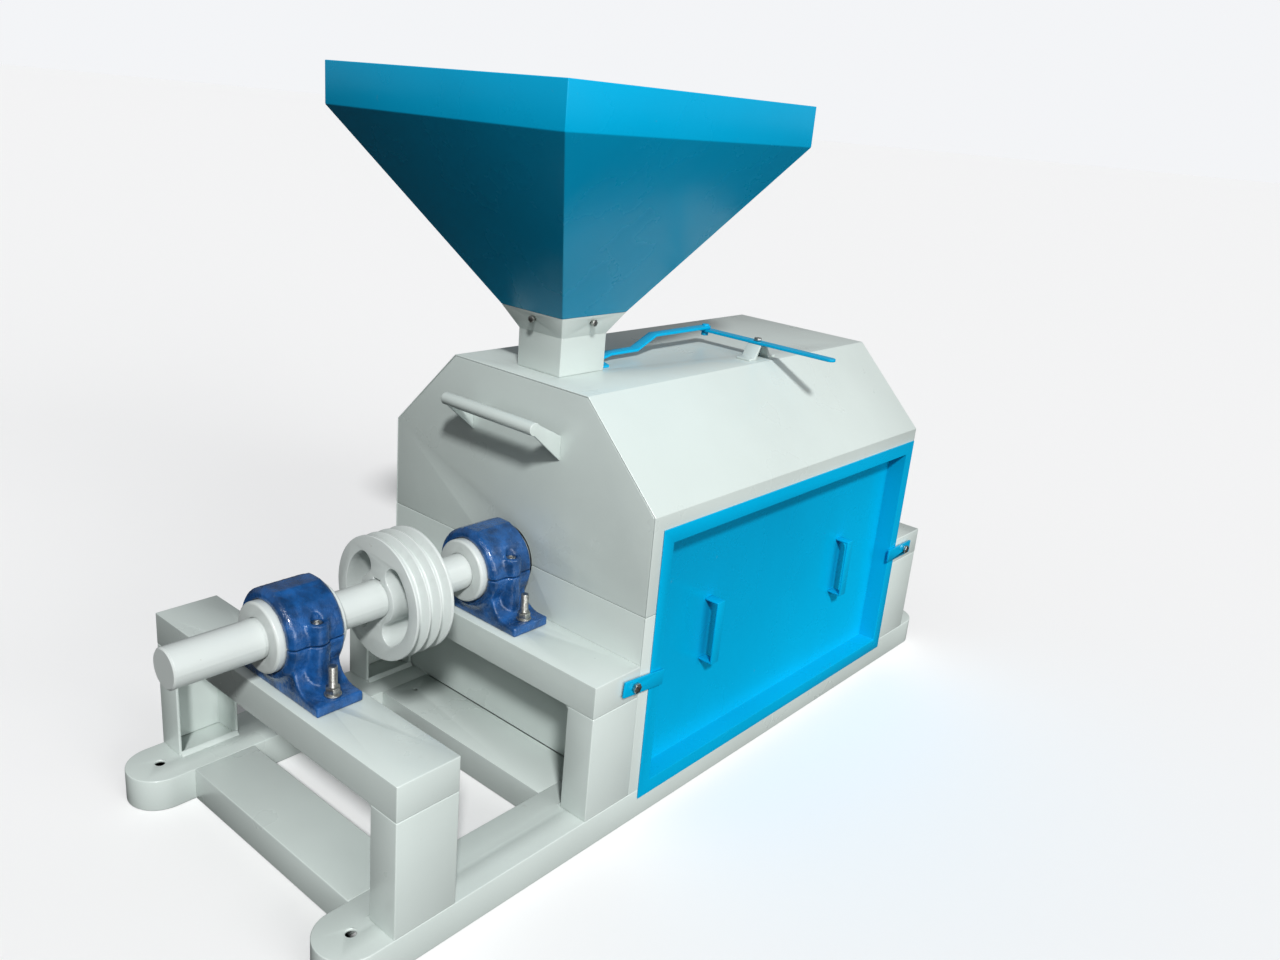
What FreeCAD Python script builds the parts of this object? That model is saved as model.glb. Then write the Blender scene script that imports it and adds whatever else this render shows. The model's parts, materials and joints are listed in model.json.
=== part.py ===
"""Rice huller: a horizontal steel huller in a cabinet on a channel-iron base.

Millimetres.  X runs across the machine (the access door is on +X), Y runs along the shaft from its
free end (-Y) to the rear (+Y), and Z is up.  The origin is on the floor, in the middle of the
machine's length and width, and the shaft lies in the plane X = 0.
"""

import FreeCAD, Part
import math
import os

import Sketcher

# ---------------------------------------------------------------------------------------------
# Driving dimensions
# ---------------------------------------------------------------------------------------------

DIMENSIONS = {
    # channel section shared by the whole base
    "half_width": 375.0,
    "channel_width": 125.0,
    "channel_flange": 66.0,
    "web_thickness": 6.0,
    "flange_tip": 6.0,
    "flange_root": 10.0,
    "rail_wall": 8.0,
    # base layout, measured along Y from the front face of the front bridge
    "foot_overhang": 38.0,
    "middle_bridge_start": 440.0,
    "rear_bridge_start": 1585.0,
    "bridge_top": 354.0,
    "foot_hole_radius": 9.0,
    "service_hole_radius": 5.0,
    "service_hole_inset": 37.0,
    # cabinet
    "casing_gap": 0.3,
    "sheet": 3.0,
    "seam_gap": 1.0,
    "seam_lap": 20.0,
    "hood_side_rise": 201.0,
    "hood_slope_rise": 183.0,
    "hood_top_half": 189.0,
    "panel_hole_radius": 68.0,
    # lift-off door
    "door_margin": 28.0,
    "door_rear_margin": 6.0,
    "door_bottom": 46.0,
    "door_top_drop": 30.0,
    "door_flange": 28.0,
    "door_depth": 45.0,
    "door_play": 2.0,
    "door_handle_offset": 262.0,
    "door_handle_height": 142.0,
    "door_handle_reach": 34.0,
    "door_handle_strip": 25.0,
    "door_handle_gauge": 4.0,
    # turn-button latches
    "latch_length": 115.0,
    "latch_width": 32.0,
    "latch_gauge": 5.0,
    "latch_tail": 30.0,
    "latch_height": 322.0,
    "latch_front_inset": 22.0,
    "latch_rear_inset": 38.0,
    "latch_bolt_radius": 6.0,
    "latch_tilt": 6.0,
    # hood handles
    "handle_half": 128.0,
    "handle_tube_radius": 13.0,
    "handle_reach": 72.0,
    "handle_top_drop": 68.0,
    "handle_drop": 50.0,
    "handle_plate": 5.0,
    "handle_plate_width": 50.0,
    # feed neck and hopper
    "neck_centre": 683.0,
    "neck_half_x": 60.0,
    "neck_half_y": 64.0,
    "neck_wall": 4.0,
    "neck_rise": 77.0,
    "collar_rise": 45.0,
    "collar_half_x": 85.0,
    "collar_half_y": 92.0,
    "skirt_depth": 30.0,
    "funnel_rise": 346.0,
    "rim_rise": 76.0,
    "rim_half_x": 308.0,
    "rim_half_y": 344.0,
    "hopper_bolt_radius": 4.0,
    # feed gate linkage
    "inlet_half_x": 46.0,
    "inlet_half_y": 46.0,
    "gate_gauge": 5.0,
    "gate_half_width": 50.0,
    "gate_tail": 42.0,
    "gate_play": 0.3,
    "slot_play": 1.3,
    "strip_width": 25.0,
    "strip_gauge": 6.0,
    "bracket_height": 32.0,
    "bracket_gauge": 5.0,
    "bracket_width": 36.0,
    "bracket_foot": 22.0,
    "pivot_across": 154.0,
    "pivot_along": 1158.0,
    "lever_arm": 150.0,
    "lever_reach": 190.0,
    "lever_slot_travel": 8.0,
    "lever_slot_play": 0.5,
    "link_low": 12.0,
    "link_joggle": 935.0,
    "link_ramp": 30.0,
    "pin_radius": 5.0,
    # shaft line
    "centre_height": 100.0,
    "shaft_radius": 36.0,
    "shaft_front": -166.0,
    "shaft_rear": 1732.0,
    "seat_relief": 4.0,
    "seat_relief_depth": 0.5,
    "shaft_chamfer": 3.0,
    "key_width": 20.0,
    "key_height": 12.0,
    "key_seat": 7.5,
    "key_play": 0.05,
    # pulley
    "pulley_start": 236.0,
    "pulley_radius": 120.0,
    "groove_count": 3.0,
    "groove_pitch": 25.5,
    "groove_edge": 17.0,
    "groove_mouth": 22.0,
    "groove_floor": 10.5,
    "groove_depth": 18.0,
    "pulley_rim_radius": 94.0,
    "pulley_hub_radius": 50.0,
    "window_sweep": 104.0,
    "window_turn": -4.0,
    # bearings
    "barrel_radius": 83.0,
    "barrel_length": 108.0,
    "barrel_chamfer": 8.0,
    "bearing_bore": 63.8,
    "bearing_foot_half": 140.0,
    "bearing_foot_depth": 90.0,
    "bearing_foot_height": 20.0,
    "bearing_flare": 44.0,
    "bearing_stem_half": 72.0,
    "column_offset": 73.0,
    "column_radius": 21.0,
    "cap_bolt_radius": 6.0,
    "cap_head_across": 18.0,
    "cap_head_height": 10.0,
    "spot_face_play": 1.0,
    "column_rise": 40.0,
    "cap_pad_half": 19.0,
    "cap_pad_rise": 4.0,
    "stud_offset": 118.0,
    "stud_radius": 8.0,
    "stud_hole_play": 1.0,
    "stud_top_rise": 54.0,
    "nut_across": 24.0,
    "nut_height": 13.0,
    "washer_radius": 15.0,
    "washer_gauge": 3.0,
    "seal_radius": 63.5,
    "seal_reach": 13.5,
    "seal_inset": 14.0,
    "seal_play": 0.5,
    "insert_play": 0.05,
    "cap_gap": 0.3,
    # hulling chamber
    "chamber_front_gap": 44.0,
    "chamber_rear_gap": 92.0,
    "chamber_radius": 92.0,
    "chamber_wall": 7.0,
    "chamber_end_wall": 12.0,
    "chamber_flange": 36.0,
    "chamber_flange_gauge": 12.0,
    "blade_gauge": 12.0,
    "blade_clearance": 3.0,
    "rotor_radius": 64.0,
    "rib_height": 15.0,
    "rib_width": 13.0,
    "rib_count": 6.0,
    "rotor_end_play": 3.0,
    "screw_length": 210.0,
    "screw_pitch": 420.0,
    "screw_starts": 4.0,
    "screen_gauge": 2.0,
    "screen_play": 0.3,
    "screen_length": 300.0,
    "screen_start": 150.0,
    "screen_spacing": 340.0,
    "screen_half_angle": 68.0,
    "window_half_angle": 58.0,
    "slot_length": 34.0,
    "slot_width": 3.0,
    "slot_rows": 7.0,
    "slots_per_row": 5.0,
    "saddle_gauge": 12.0,
    "saddle_half": 300.0,
    "saddle_inset": 110.0,
    "chute_wall": 3.0,
    "outlet_inset": 32.0,
    "outlet_length": 66.0,
    "outlet_height": 52.0,
    "outlet_clearance": 16.0,
    "outlet_drop": 150.0,
    "flange_bolt_radius": 6.0,
    "flange_bolts_a_side": 4.0,
    "seat_gap": 0.3,
}


class Size:
    """A value together with the sheet expression that gives it."""

    def __init__(self, value, text):
        self.value = float(value)
        self.text = text

    def __add__(self, other):
        other = as_size(other)
        return Size(self.value + other.value, f"({self.text} + {other.text})")

    def __sub__(self, other):
        other = as_size(other)
        return Size(self.value - other.value, f"({self.text} - {other.text})")

    def __mul__(self, other):
        other = as_size(other)
        return Size(self.value * other.value, f"({self.text} * {other.text})")

    def __truediv__(self, other):
        other = as_size(other)
        return Size(self.value / other.value, f"({self.text} / {other.text})")

    def __radd__(self, other):
        return as_size(other) + self

    def __rsub__(self, other):
        return as_size(other) - self

    def __rmul__(self, other):
        return as_size(other) * self

    def __rtruediv__(self, other):
        return as_size(other) / self

    def __neg__(self):
        return as_size(0) - self


def as_size(number):
    """A plain number becomes a Size whose expression is the number itself."""
    if isinstance(number, Size):
        return number
    return Size(number, f"({float(number)!r})")


def sine(angle):
    angle = as_size(angle)
    return Size(math.sin(math.radians(angle.value)), f"sin({angle.text})")


def cosine(angle):
    angle = as_size(angle)
    return Size(math.cos(math.radians(angle.value)), f"cos({angle.text})")


def square_root(number):
    return Size(math.sqrt(number.value), f"sqrt({number.text})")


class Sheet:
    """The spreadsheet of driving dimensions, read as attributes such as dim.sheet."""

    def __init__(self, table):
        cells = doc.addObject("Spreadsheet::Sheet", "sizes")
        for row, (alias, number) in enumerate(table.items(), start=1):
            cells.set(f"A{row}", str(number))
            cells.setAlias(f"A{row}", alias)
            setattr(self, alias, Size(number, f"sizes.{alias}"))


doc = FreeCAD.newDocument("rice_huller")
dim = Sheet(DIMENSIONS)
doc.recompute()

# ---------------------------------------------------------------------------------------------
# Places that several pieces share
# ---------------------------------------------------------------------------------------------

BRIDGE_END = dim.rear_bridge_start + dim.channel_width
RAIL_END = BRIDGE_END + dim.foot_overhang + dim.channel_width / 2
MIDDLE = (dim.shaft_front + RAIL_END) / 2
RAIL_TOP = dim.channel_flange
AXIS_Z = dim.bridge_top + dim.centre_height
HOOD_SHOULDER = AXIS_Z + dim.hood_side_rise
HOOD_TOP = HOOD_SHOULDER + dim.hood_slope_rise
NECK_TOP = HOOD_TOP + dim.neck_rise
COLLAR_TOP = NECK_TOP + dim.collar_rise
RIM_BOTTOM = COLLAR_TOP + dim.funnel_rise
RIM_TOP = RIM_BOTTOM + dim.rim_rise
DOOR_TOP = HOOD_SHOULDER - dim.door_top_drop
HANDLE_HEIGHT = HOOD_TOP - dim.handle_top_drop
RAIL_X = dim.half_width - dim.channel_width / 2
WALL_IN = dim.half_width - dim.sheet


def along(station):
    """Y of a station given from the front face of the front bridge."""
    return station - MIDDLE


FOOT_Y = (along(as_size(0) - dim.foot_overhang), along(BRIDGE_END + dim.foot_overhang))

BRIDGE_STARTS = {
    "front": as_size(0),
    "middle": dim.middle_bridge_start,
    "rear": dim.rear_bridge_start,
}
CASING_FRONT = along(dim.middle_bridge_start + dim.channel_width + dim.casing_gap)
CASING_REAR = along(dim.rear_bridge_start - dim.casing_gap)
CASING_LENGTH = CASING_REAR - CASING_FRONT
NECK_Y = along(dim.neck_centre)
BEARING_Y = {name: along(start + dim.channel_width / 2) for name, start in BRIDGE_STARTS.items()}
CHAMBER_FRONT = CASING_FRONT + dim.sheet + dim.chamber_front_gap
CHAMBER_REAR = CASING_REAR - dim.sheet - dim.chamber_rear_gap
CHAMBER_LENGTH = CHAMBER_REAR - CHAMBER_FRONT
CHAMBER_OUT = dim.chamber_radius + dim.chamber_wall
TROUGH_TOP = AXIS_Z - dim.blade_gauge / 2
COVER_BOTTOM = AXIS_Z + dim.blade_gauge / 2
FLANGE_HALF = CHAMBER_OUT + dim.chamber_flange
FLANGE_BOLT_X = CHAMBER_OUT + dim.chamber_flange / 2
DOOR_FRONT = CASING_FRONT + dim.door_margin
DOOR_REAR = CASING_REAR - dim.door_rear_margin
PULLEY_FACE = 2 * dim.groove_edge + (dim.groove_count - 1) * dim.groove_pitch
ROTOR_FRONT = CHAMBER_FRONT + dim.chamber_end_wall + dim.rotor_end_play
ROTOR_LENGTH = CHAMBER_LENGTH - 2 * (dim.chamber_end_wall + dim.rotor_end_play)
RIB_TIP = dim.rotor_radius + dim.rib_height
LEVER_BOTTOM = HOOD_TOP + dim.bracket_height + dim.gate_play
LINK_TOP_BOTTOM = LEVER_BOTTOM + dim.strip_gauge + dim.gate_play
LINK_X = dim.pivot_across - dim.lever_arm

# ---------------------------------------------------------------------------------------------
# Modelling helpers: every one binds the sizes it is given to the sheet
# ---------------------------------------------------------------------------------------------

X_AXIS = FreeCAD.Vector(1, 0, 0)
Y_AXIS = FreeCAD.Vector(0, 1, 0)
Z_AXIS = FreeCAD.Vector(0, 0, 1)
UPRIGHT = FreeCAD.Rotation()
SKETCH_TURNS = {
    "XY": UPRIGHT,
    "XZ": FreeCAD.Rotation(X_AXIS, Z_AXIS, -Y_AXIS, "ZXY"),
    "YZ": FreeCAD.Rotation(Y_AXIS, Z_AXIS, X_AXIS, "ZXY"),
}
CYLINDER_TURNS = {
    "X": FreeCAD.Rotation(Y_AXIS, Z_AXIS, X_AXIS, "ZXY"),
    "Y": FreeCAD.Rotation(Z_AXIS, X_AXIS, Y_AXIS, "ZXY"),
    "Z": UPRIGHT,
}
EXTRUDE_ALONG = {"XY": Z_AXIS, "XZ": Y_AXIS, "YZ": X_AXIS}
SUB_PARTS = []


def bind(thing, **sizes):
    """Ties properties to sheet expressions."""
    for prop, amount in sizes.items():
        thing.setExpression(prop, as_size(amount).text)


def place(thing, spot, turn=UPRIGHT):
    """Puts an object at a bound spot with a fixed turn."""
    thing.Placement = FreeCAD.Placement(FreeCAD.Vector(), turn)
    for letter, amount in zip("xyz", spot):
        thing.setExpression(f"Placement.Base.{letter}", as_size(amount).text)


def box(low, high):
    """A block between two opposite corners."""
    low = [as_size(amount) for amount in low]
    block = doc.addObject("Part::Box", "block")
    bind(block, Length=high[0] - low[0], Width=high[1] - low[1], Height=high[2] - low[2])
    place(block, low)
    return block


def cylinder(spot, radius, height, direction="Z"):
    """A round bar from a spot along an axis."""
    bar = doc.addObject("Part::Cylinder", "bar")
    bind(bar, Radius=radius, Height=height)
    place(bar, spot, CYLINDER_TURNS[direction])
    return bar


def hexagon(spot, across_flats, height, direction="Z"):
    """A hexagonal prism from a spot along an axis."""
    prism = doc.addObject("Part::Prism", "hexagon")
    prism.Polygon = 6
    bind(prism, Circumradius=as_size(across_flats) / 2 / cosine(30), Height=height)
    place(prism, spot, CYLINDER_TURNS[direction])
    return prism


def frustum(centre_y, low_z, low_half, high_z, high_half):
    """A rectangular frustum that stands upright on the plane X = 0."""
    wedge = doc.addObject("Part::Wedge", "frustum")
    bind(
        wedge,
        Xmin=-low_half[0],
        Xmax=low_half[0],
        Zmin=-low_half[1],
        Zmax=low_half[1],
        X2min=-high_half[0],
        X2max=high_half[0],
        Z2min=-high_half[1],
        Z2max=high_half[1],
        Ymin=0,
        Ymax=high_z - low_z,
    )
    place(wedge, (0, centre_y, low_z), FreeCAD.Rotation(X_AXIS, 90))
    return wedge


def draw_polygon(sketch, points):
    """A closed outline whose corners are all dimensioned from the sketch's origin."""
    points = [(as_size(across), as_size(up)) for across, up in points]
    first = sketch.GeometryCount
    count = len(points)
    for index in range(count):
        start, end = points[index], points[(index + 1) % count]
        line = Part.LineSegment(
            FreeCAD.Vector(start[0].value, start[1].value, 0),
            FreeCAD.Vector(end[0].value, end[1].value, 0),
        )
        sketch.addGeometry(line, False)
    for index in range(count):
        following = first + (index + 1) % count
        sketch.addConstraint(Sketcher.Constraint("Coincident", first + index, 2, following, 1))
    for index, (across, up) in enumerate(points):
        for kind, amount in (("DistanceX", across), ("DistanceY", up)):
            row = sketch.addConstraint(
                Sketcher.Constraint(kind, -1, 1, first + index, 1, amount.value)
            )
            sketch.setExpression(f"Constraints[{row}]", amount.text)


def draw_circle(sketch, across, up, radius):
    """A circle dimensioned from the sketch's origin."""
    across, up, radius = as_size(across), as_size(up), as_size(radius)
    centre = FreeCAD.Vector(across.value, up.value, 0)
    ring = sketch.addGeometry(Part.Circle(centre, Z_AXIS, radius.value), False)
    rows = (
        (Sketcher.Constraint("DistanceX", -1, 1, ring, 3, across.value), across),
        (Sketcher.Constraint("DistanceY", -1, 1, ring, 3, up.value), up),
        (Sketcher.Constraint("Radius", ring, radius.value), radius),
    )
    for constraint, amount in rows:
        row = sketch.addConstraint(constraint)
        sketch.setExpression(f"Constraints[{row}]", amount.text)


def free_sketch(plane, spot):
    """A sketch outside any body, on a plane through a bound spot."""
    sketch = doc.addObject("Sketcher::SketchObject", "profile")
    place(sketch, spot, SKETCH_TURNS[plane])
    return sketch


def extrude(plane, spot, length, points):
    """A prism: an outline on a plane, pushed out along the plane's third axis."""
    sketch = free_sketch(plane, spot)
    draw_polygon(sketch, points)
    prism = doc.addObject("Part::Extrusion", "prism")
    prism.Base = sketch
    prism.DirMode = "Custom"
    prism.Dir = EXTRUDE_ALONG[plane]
    prism.Solid = True
    bind(prism, LengthFwd=length)
    return prism


def turned(spot, points):
    """A turned piece on an axis along Y; the points are (radius, distance along the axis)."""
    sketch = free_sketch("XY", spot)
    draw_polygon(sketch, points)
    solid = doc.addObject("Part::Revolution", "turned")
    solid.Source = sketch
    solid.Axis = Y_AXIS
    solid.Angle = 360.0
    solid.Solid = True
    for letter, amount in zip("xyz", spot):
        solid.setExpression(f"Base.{letter}", as_size(amount).text)
    return solid


def fuse(*shapes):
    joined = doc.addObject("Part::MultiFuse", "joined")
    joined.Shapes = list(shapes)
    joined.Refine = True
    return joined


def cut(base, *tools):
    result = doc.addObject("Part::Cut", "cut")
    result.Base = base
    result.Tool = tools[0] if len(tools) == 1 else fuse(*tools)
    result.Refine = True
    return result


def common(first, second):
    overlap = doc.addObject("Part::Common", "shared")
    overlap.Base = first
    overlap.Tool = second
    overlap.Refine = True
    return overlap


def group(*shapes):
    """Separate solids that share one node."""
    bundle = doc.addObject("Part::Compound", "set")
    bundle.Links = list(shapes)
    return bundle


def sub_part(thing, label):
    """Names a finished piece; its label names its file."""
    thing.Label = label
    SUB_PARTS.append(thing)
    return thing


# PartDesign helpers ---------------------------------------------------------------------------


def new_body(label, spot, turn=UPRIGHT):
    body = doc.addObject("PartDesign::Body", "body_" + label)
    place(body, spot, turn)
    return sub_part(body, label)


def body_sketch(body, role, lift=0):
    """A sketch on one of the body's own origin planes, lifted off it by a bound distance."""
    plane = [item for item in body.Origin.OriginFeatures if item.Role == role][0]
    sketch = body.newObject("Sketcher::SketchObject", "sketch")
    sketch.AttachmentSupport = [(plane, "")]
    sketch.MapMode = "FlatFace"
    sketch.setExpression("AttachmentOffset.Base.z", as_size(lift).text)
    return sketch


def pad(body, sketch, length, midplane=False):
    feature = body.newObject("PartDesign::Pad", "pad")
    feature.Profile = sketch
    feature.Midplane = midplane
    bind(feature, Length=length)
    return feature


def pocket(body, sketch, depth, midplane=False, reverse=False):
    feature = body.newObject("PartDesign::Pocket", "pocket")
    feature.Profile = sketch
    feature.Midplane = midplane
    feature.Reversed = reverse
    bind(feature, Length=depth)
    return feature


def polar_pattern(body, feature, axis_sketch, count):
    """Repeats a feature round the normal of a sketch."""
    pattern = body.newObject("PartDesign::PolarPattern", "around")
    pattern.Originals = [feature]
    pattern.Axis = (axis_sketch, ["N_Axis"])
    pattern.Angle = 360.0
    pattern.Occurrences = int(count.value)
    pattern.setExpression("Occurrences", count.text)
    body.Tip = pattern
    return pattern


# ---------------------------------------------------------------------------------------------
# Base: rails, cross channels, posts and bridges
# ---------------------------------------------------------------------------------------------

ALONG_X = FreeCAD.Rotation(Y_AXIS, Z_AXIS, X_AXIS, "ZXY")
POST_TURNS = {
    "right": FreeCAD.Rotation(-Y_AXIS, X_AXIS, Z_AXIS, "ZXY"),
    "left": FreeCAD.Rotation(Y_AXIS, -X_AXIS, Z_AXIS, "ZXY"),
}


def channel_outline():
    """Rolled channel section, web on top, with flanges that taper towards their tips."""
    half = dim.channel_width / 2
    return [
        (-half, 0),
        (half, 0),
        (half, -dim.channel_flange),
        (half - dim.flange_tip, -dim.channel_flange),
        (half - dim.flange_root, -dim.web_thickness),
        (-half + dim.flange_root, -dim.web_thickness),
        (-half + dim.flange_tip, -dim.channel_flange),
        (-half, -dim.channel_flange),
    ]


def channel(label, spot, length, turn):
    body = new_body(label, spot, turn)
    sketch = body_sketch(body, "XY_Plane")
    draw_polygon(sketch, channel_outline())
    pad(body, sketch, length)
    return body


def drill_web(body, holes, radius):
    """Holes through the web of a channel; each is (across the channel, along it)."""
    sketch = body_sketch(body, "XZ_Plane")
    for across, distance in holes:
        draw_circle(sketch, across, distance, radius)
    pocket(body, sketch, 3 * dim.web_thickness, midplane=True)


def rail(side, sign):
    """Base rail: web up, flanges on the floor, with a half-round foot and its hole at each end."""
    half = dim.channel_width / 2
    centre = sign * RAIL_X

    def stadium(radius, low, height):
        ends = [cylinder((centre, end, low), radius, height) for end in FOOT_Y]
        middle = box((centre - radius, FOOT_Y[0], low), (centre + radius, FOOT_Y[1], low + height))
        return fuse(middle, *ends)

    outside = stadium(half, 0, RAIL_TOP)
    hollow = stadium(half - dim.rail_wall, 0, RAIL_TOP - dim.web_thickness)
    holes = [cylinder((centre, end, 0), dim.foot_hole_radius, RAIL_TOP) for end in FOOT_Y]
    sub_part(cut(outside, hollow, *holes), f"base_rail_{side}")


def base_frame():
    for side, sign in (("left", -1), ("right", 1)):
        rail(side, sign)
    inner = dim.half_width - dim.channel_width
    for name, start in BRIDGE_STARTS.items():
        centre = BEARING_Y[name]
        cross = channel(f"cross_channel_{name}", (-inner, centre, RAIL_TOP), 2 * inner, ALONG_X)
        if name == "middle":
            drill_web(cross, [(0, dim.service_hole_inset)], dim.service_hole_radius)
        bridge = channel(f"bridge_{name}", (-dim.half_width, centre, dim.bridge_top),
                         2 * dim.half_width, ALONG_X)
        close_ends(bridge)
        holes = [(0, dim.half_width + sign * dim.stud_offset) for sign in (-1, 1)]
        drill_web(bridge, holes, dim.stud_radius + dim.stud_hole_play)
        height = dim.bridge_top - dim.channel_flange - RAIL_TOP
        for side, sign in (("left", -1), ("right", 1)):
            channel(f"post_{name}_{side}", (sign * dim.half_width, centre, RAIL_TOP),
                    height, POST_TURNS[side])


def close_ends(bridge):
    """A plate welded into each end of a bridge."""
    half = dim.channel_width / 2
    for lift in (as_size(0), 2 * dim.half_width - dim.web_thickness):
        sketch = body_sketch(bridge, "XY_Plane", lift)
        draw_polygon(sketch, [(-half, 0), (half, 0), (half, -dim.channel_flange),
                              (-half, -dim.channel_flange)])
        pad(bridge, sketch, dim.web_thickness)


# ---------------------------------------------------------------------------------------------
# Cabinet: lower casing, hood, handles
# ---------------------------------------------------------------------------------------------

SEAM_TOP = AXIS_Z + dim.seam_gap


def shaft_hole(radius):
    """A bar along the shaft line, long enough to pierce the whole cabinet."""
    return cylinder((0, CASING_FRONT - radius, AXIS_Z), radius, CASING_LENGTH + 2 * radius, "Y")


def casing_end_panel(name, outer_y, inward):
    """Lower end wall with the lower half of the shaft opening and a lip that carries the hood."""
    inner_y = outer_y + inward * dim.sheet
    lip_near = inner_y + inward * dim.seat_gap
    lip_far = lip_near + inward * dim.sheet
    inside = WALL_IN - dim.seat_gap
    low_y, high_y = sorted((outer_y, inner_y), key=lambda amount: amount.value)
    wall = box((-inside, low_y, RAIL_TOP), (inside, high_y, AXIS_Z))
    low_y, high_y = sorted((inner_y, lip_far), key=lambda amount: amount.value)
    joggle = box((-inside + dim.seam_lap, low_y, AXIS_Z - dim.seam_lap),
                 (inside - dim.seam_lap, high_y, AXIS_Z))
    low_y, high_y = sorted((lip_near, lip_far), key=lambda amount: amount.value)
    lip = box((-inside + dim.seam_lap, low_y, AXIS_Z - dim.seam_lap),
              (inside - dim.seam_lap, high_y, AXIS_Z + dim.seam_lap))
    sub_part(cut(fuse(wall, joggle, lip), shaft_hole(dim.panel_hole_radius)), f"casing_{name}_panel")


def side_walls():
    """Lower side walls: the left one lets the outlet spout through, the right one has the door."""
    left = box((-dim.half_width, CASING_FRONT, RAIL_TOP), (-WALL_IN, CASING_REAR, AXIS_Z))
    spout = box((-dim.half_width - dim.sheet, OUTLET_FRONT - dim.seat_gap, OUTLET_WALL_LOW),
                (-WALL_IN + dim.sheet, OUTLET_REAR + dim.seat_gap, OUTLET_WALL_HIGH))
    left_lip = box((-WALL_IN, CASING_FRONT + dim.seam_lap, AXIS_Z - dim.seam_lap),
                   (-WALL_IN + dim.seat_gap + dim.sheet, CASING_REAR - dim.seam_lap,
                    AXIS_Z))
    left_tongue = box((-WALL_IN + dim.seat_gap, CASING_FRONT + dim.seam_lap, AXIS_Z),
                      (-WALL_IN + dim.seat_gap + dim.sheet, CASING_REAR - dim.seam_lap,
                       AXIS_Z + dim.seam_lap))
    sub_part(cut(fuse(left, left_lip, left_tongue), spout), "casing_left_panel")
    right = box((WALL_IN, CASING_FRONT, RAIL_TOP), (dim.half_width, CASING_REAR, AXIS_Z))
    sub_part(cut(right, door_opening()), "casing_right_panel")


def door_opening():
    """The hole in the side that the door's tray drops into."""
    border = dim.door_flange - dim.door_play
    return box((WALL_IN - dim.sheet, DOOR_FRONT + border, dim.door_bottom + border),
               (dim.half_width + dim.sheet, DOOR_REAR - border, DOOR_TOP - border))


def hood_outline(inset):
    """Half-octagon section of the hood, drawn in X and Z; inset gives the inside of the sheet."""
    run = dim.half_width - dim.hood_top_half
    rise = HOOD_TOP - HOOD_SHOULDER
    slant = square_root(run * run + rise * rise)
    shoulder = HOOD_SHOULDER - inset * (slant - run) / rise
    top_half = dim.hood_top_half - inset * (slant - rise) / run
    side = dim.half_width - inset
    top = HOOD_TOP - inset
    return [
        (-side, SEAM_TOP),
        (side, SEAM_TOP),
        (side, shoulder),
        (top_half, top),
        (-top_half, top),
        (-side, shoulder),
    ]


def hood():
    """Folded hood shell with the door and feed openings, closed by two end panels."""
    outside = extrude("XZ", (0, CASING_FRONT, 0), CASING_LENGTH, hood_outline(as_size(0)))
    outline = hood_outline(dim.sheet)
    below = SEAM_TOP - dim.sheet
    outline[0] = (outline[0][0], below)
    outline[1] = (outline[1][0], below)
    inside = extrude("XZ", (0, CASING_FRONT - dim.sheet, 0), CASING_LENGTH + 2 * dim.sheet,
                     outline)
    inlet = box((-dim.inlet_half_x, NECK_Y - dim.inlet_half_y, HOOD_TOP - 2 * dim.sheet),
                (dim.inlet_half_x, NECK_Y + dim.inlet_half_y, HOOD_TOP + dim.sheet))
    sub_part(cut(outside, inside, door_opening(), inlet), "hood_shell")
    for name, start in (("front", CASING_FRONT), ("rear", CASING_REAR - dim.sheet)):
        plate = extrude("XZ", (0, start, 0), dim.sheet, hood_outline(dim.sheet + dim.seat_gap))
        sub_part(cut(plate, shaft_hole(dim.panel_hole_radius)), f"hood_{name}_panel")


def hood_handle(name, wall_y, outward):
    """Round grip on two flat arms that rise away from the end panel."""
    grip_y = wall_y + outward * dim.handle_reach
    foot_y = wall_y + outward * dim.seat_gap
    arm_low = HANDLE_HEIGHT - dim.handle_drop - dim.handle_plate_width / 2
    arms = []
    for inner_x in (-dim.handle_half, dim.handle_half - dim.handle_plate):
        outline = [
            (foot_y, arm_low),
            (grip_y, HANDLE_HEIGHT - dim.handle_tube_radius),
            (grip_y, HANDLE_HEIGHT + dim.handle_tube_radius),
            (foot_y, arm_low + dim.handle_plate_width),
        ]
        arms.append(extrude("YZ", (inner_x, 0, 0), dim.handle_plate, outline))
    tube = cylinder((-dim.handle_half, grip_y, HANDLE_HEIGHT), dim.handle_tube_radius,
                    2 * dim.handle_half, "X")
    sub_part(fuse(tube, *arms), f"hood_handle_{name}")


# ---------------------------------------------------------------------------------------------
# Lift-off door and its latches
# ---------------------------------------------------------------------------------------------

DOOR_FACE = dim.half_width + dim.seat_gap + dim.sheet


def access_door():
    """Dished sheet door: a flat flange all round and a recessed tray."""
    border = dim.door_flange
    flange = box((dim.half_width + dim.seat_gap, DOOR_FRONT, dim.door_bottom),
                 (DOOR_FACE, DOOR_REAR, DOOR_TOP))
    tray = box((DOOR_FACE - dim.door_depth - dim.sheet, DOOR_FRONT + border, dim.door_bottom + border),
               (DOOR_FACE, DOOR_REAR - border, DOOR_TOP - border))
    inner = border + dim.sheet
    dish = box((DOOR_FACE - dim.door_depth, DOOR_FRONT + inner, dim.door_bottom + inner),
               (DOOR_FACE + dim.sheet, DOOR_REAR - inner, DOOR_TOP - inner))
    sub_part(cut(fuse(flange, tray), dish), "access_door")
    back = DOOR_FACE - dim.door_depth
    middle_y = (DOOR_FRONT + DOOR_REAR) / 2
    middle_z = (dim.door_bottom + DOOR_TOP) / 2
    handles = []
    for sign in (-1, 1):
        centre = middle_y + sign * dim.door_handle_offset
        handles.append(door_handle(back, centre, middle_z))
    sub_part(group(*handles), "door_handles")


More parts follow.
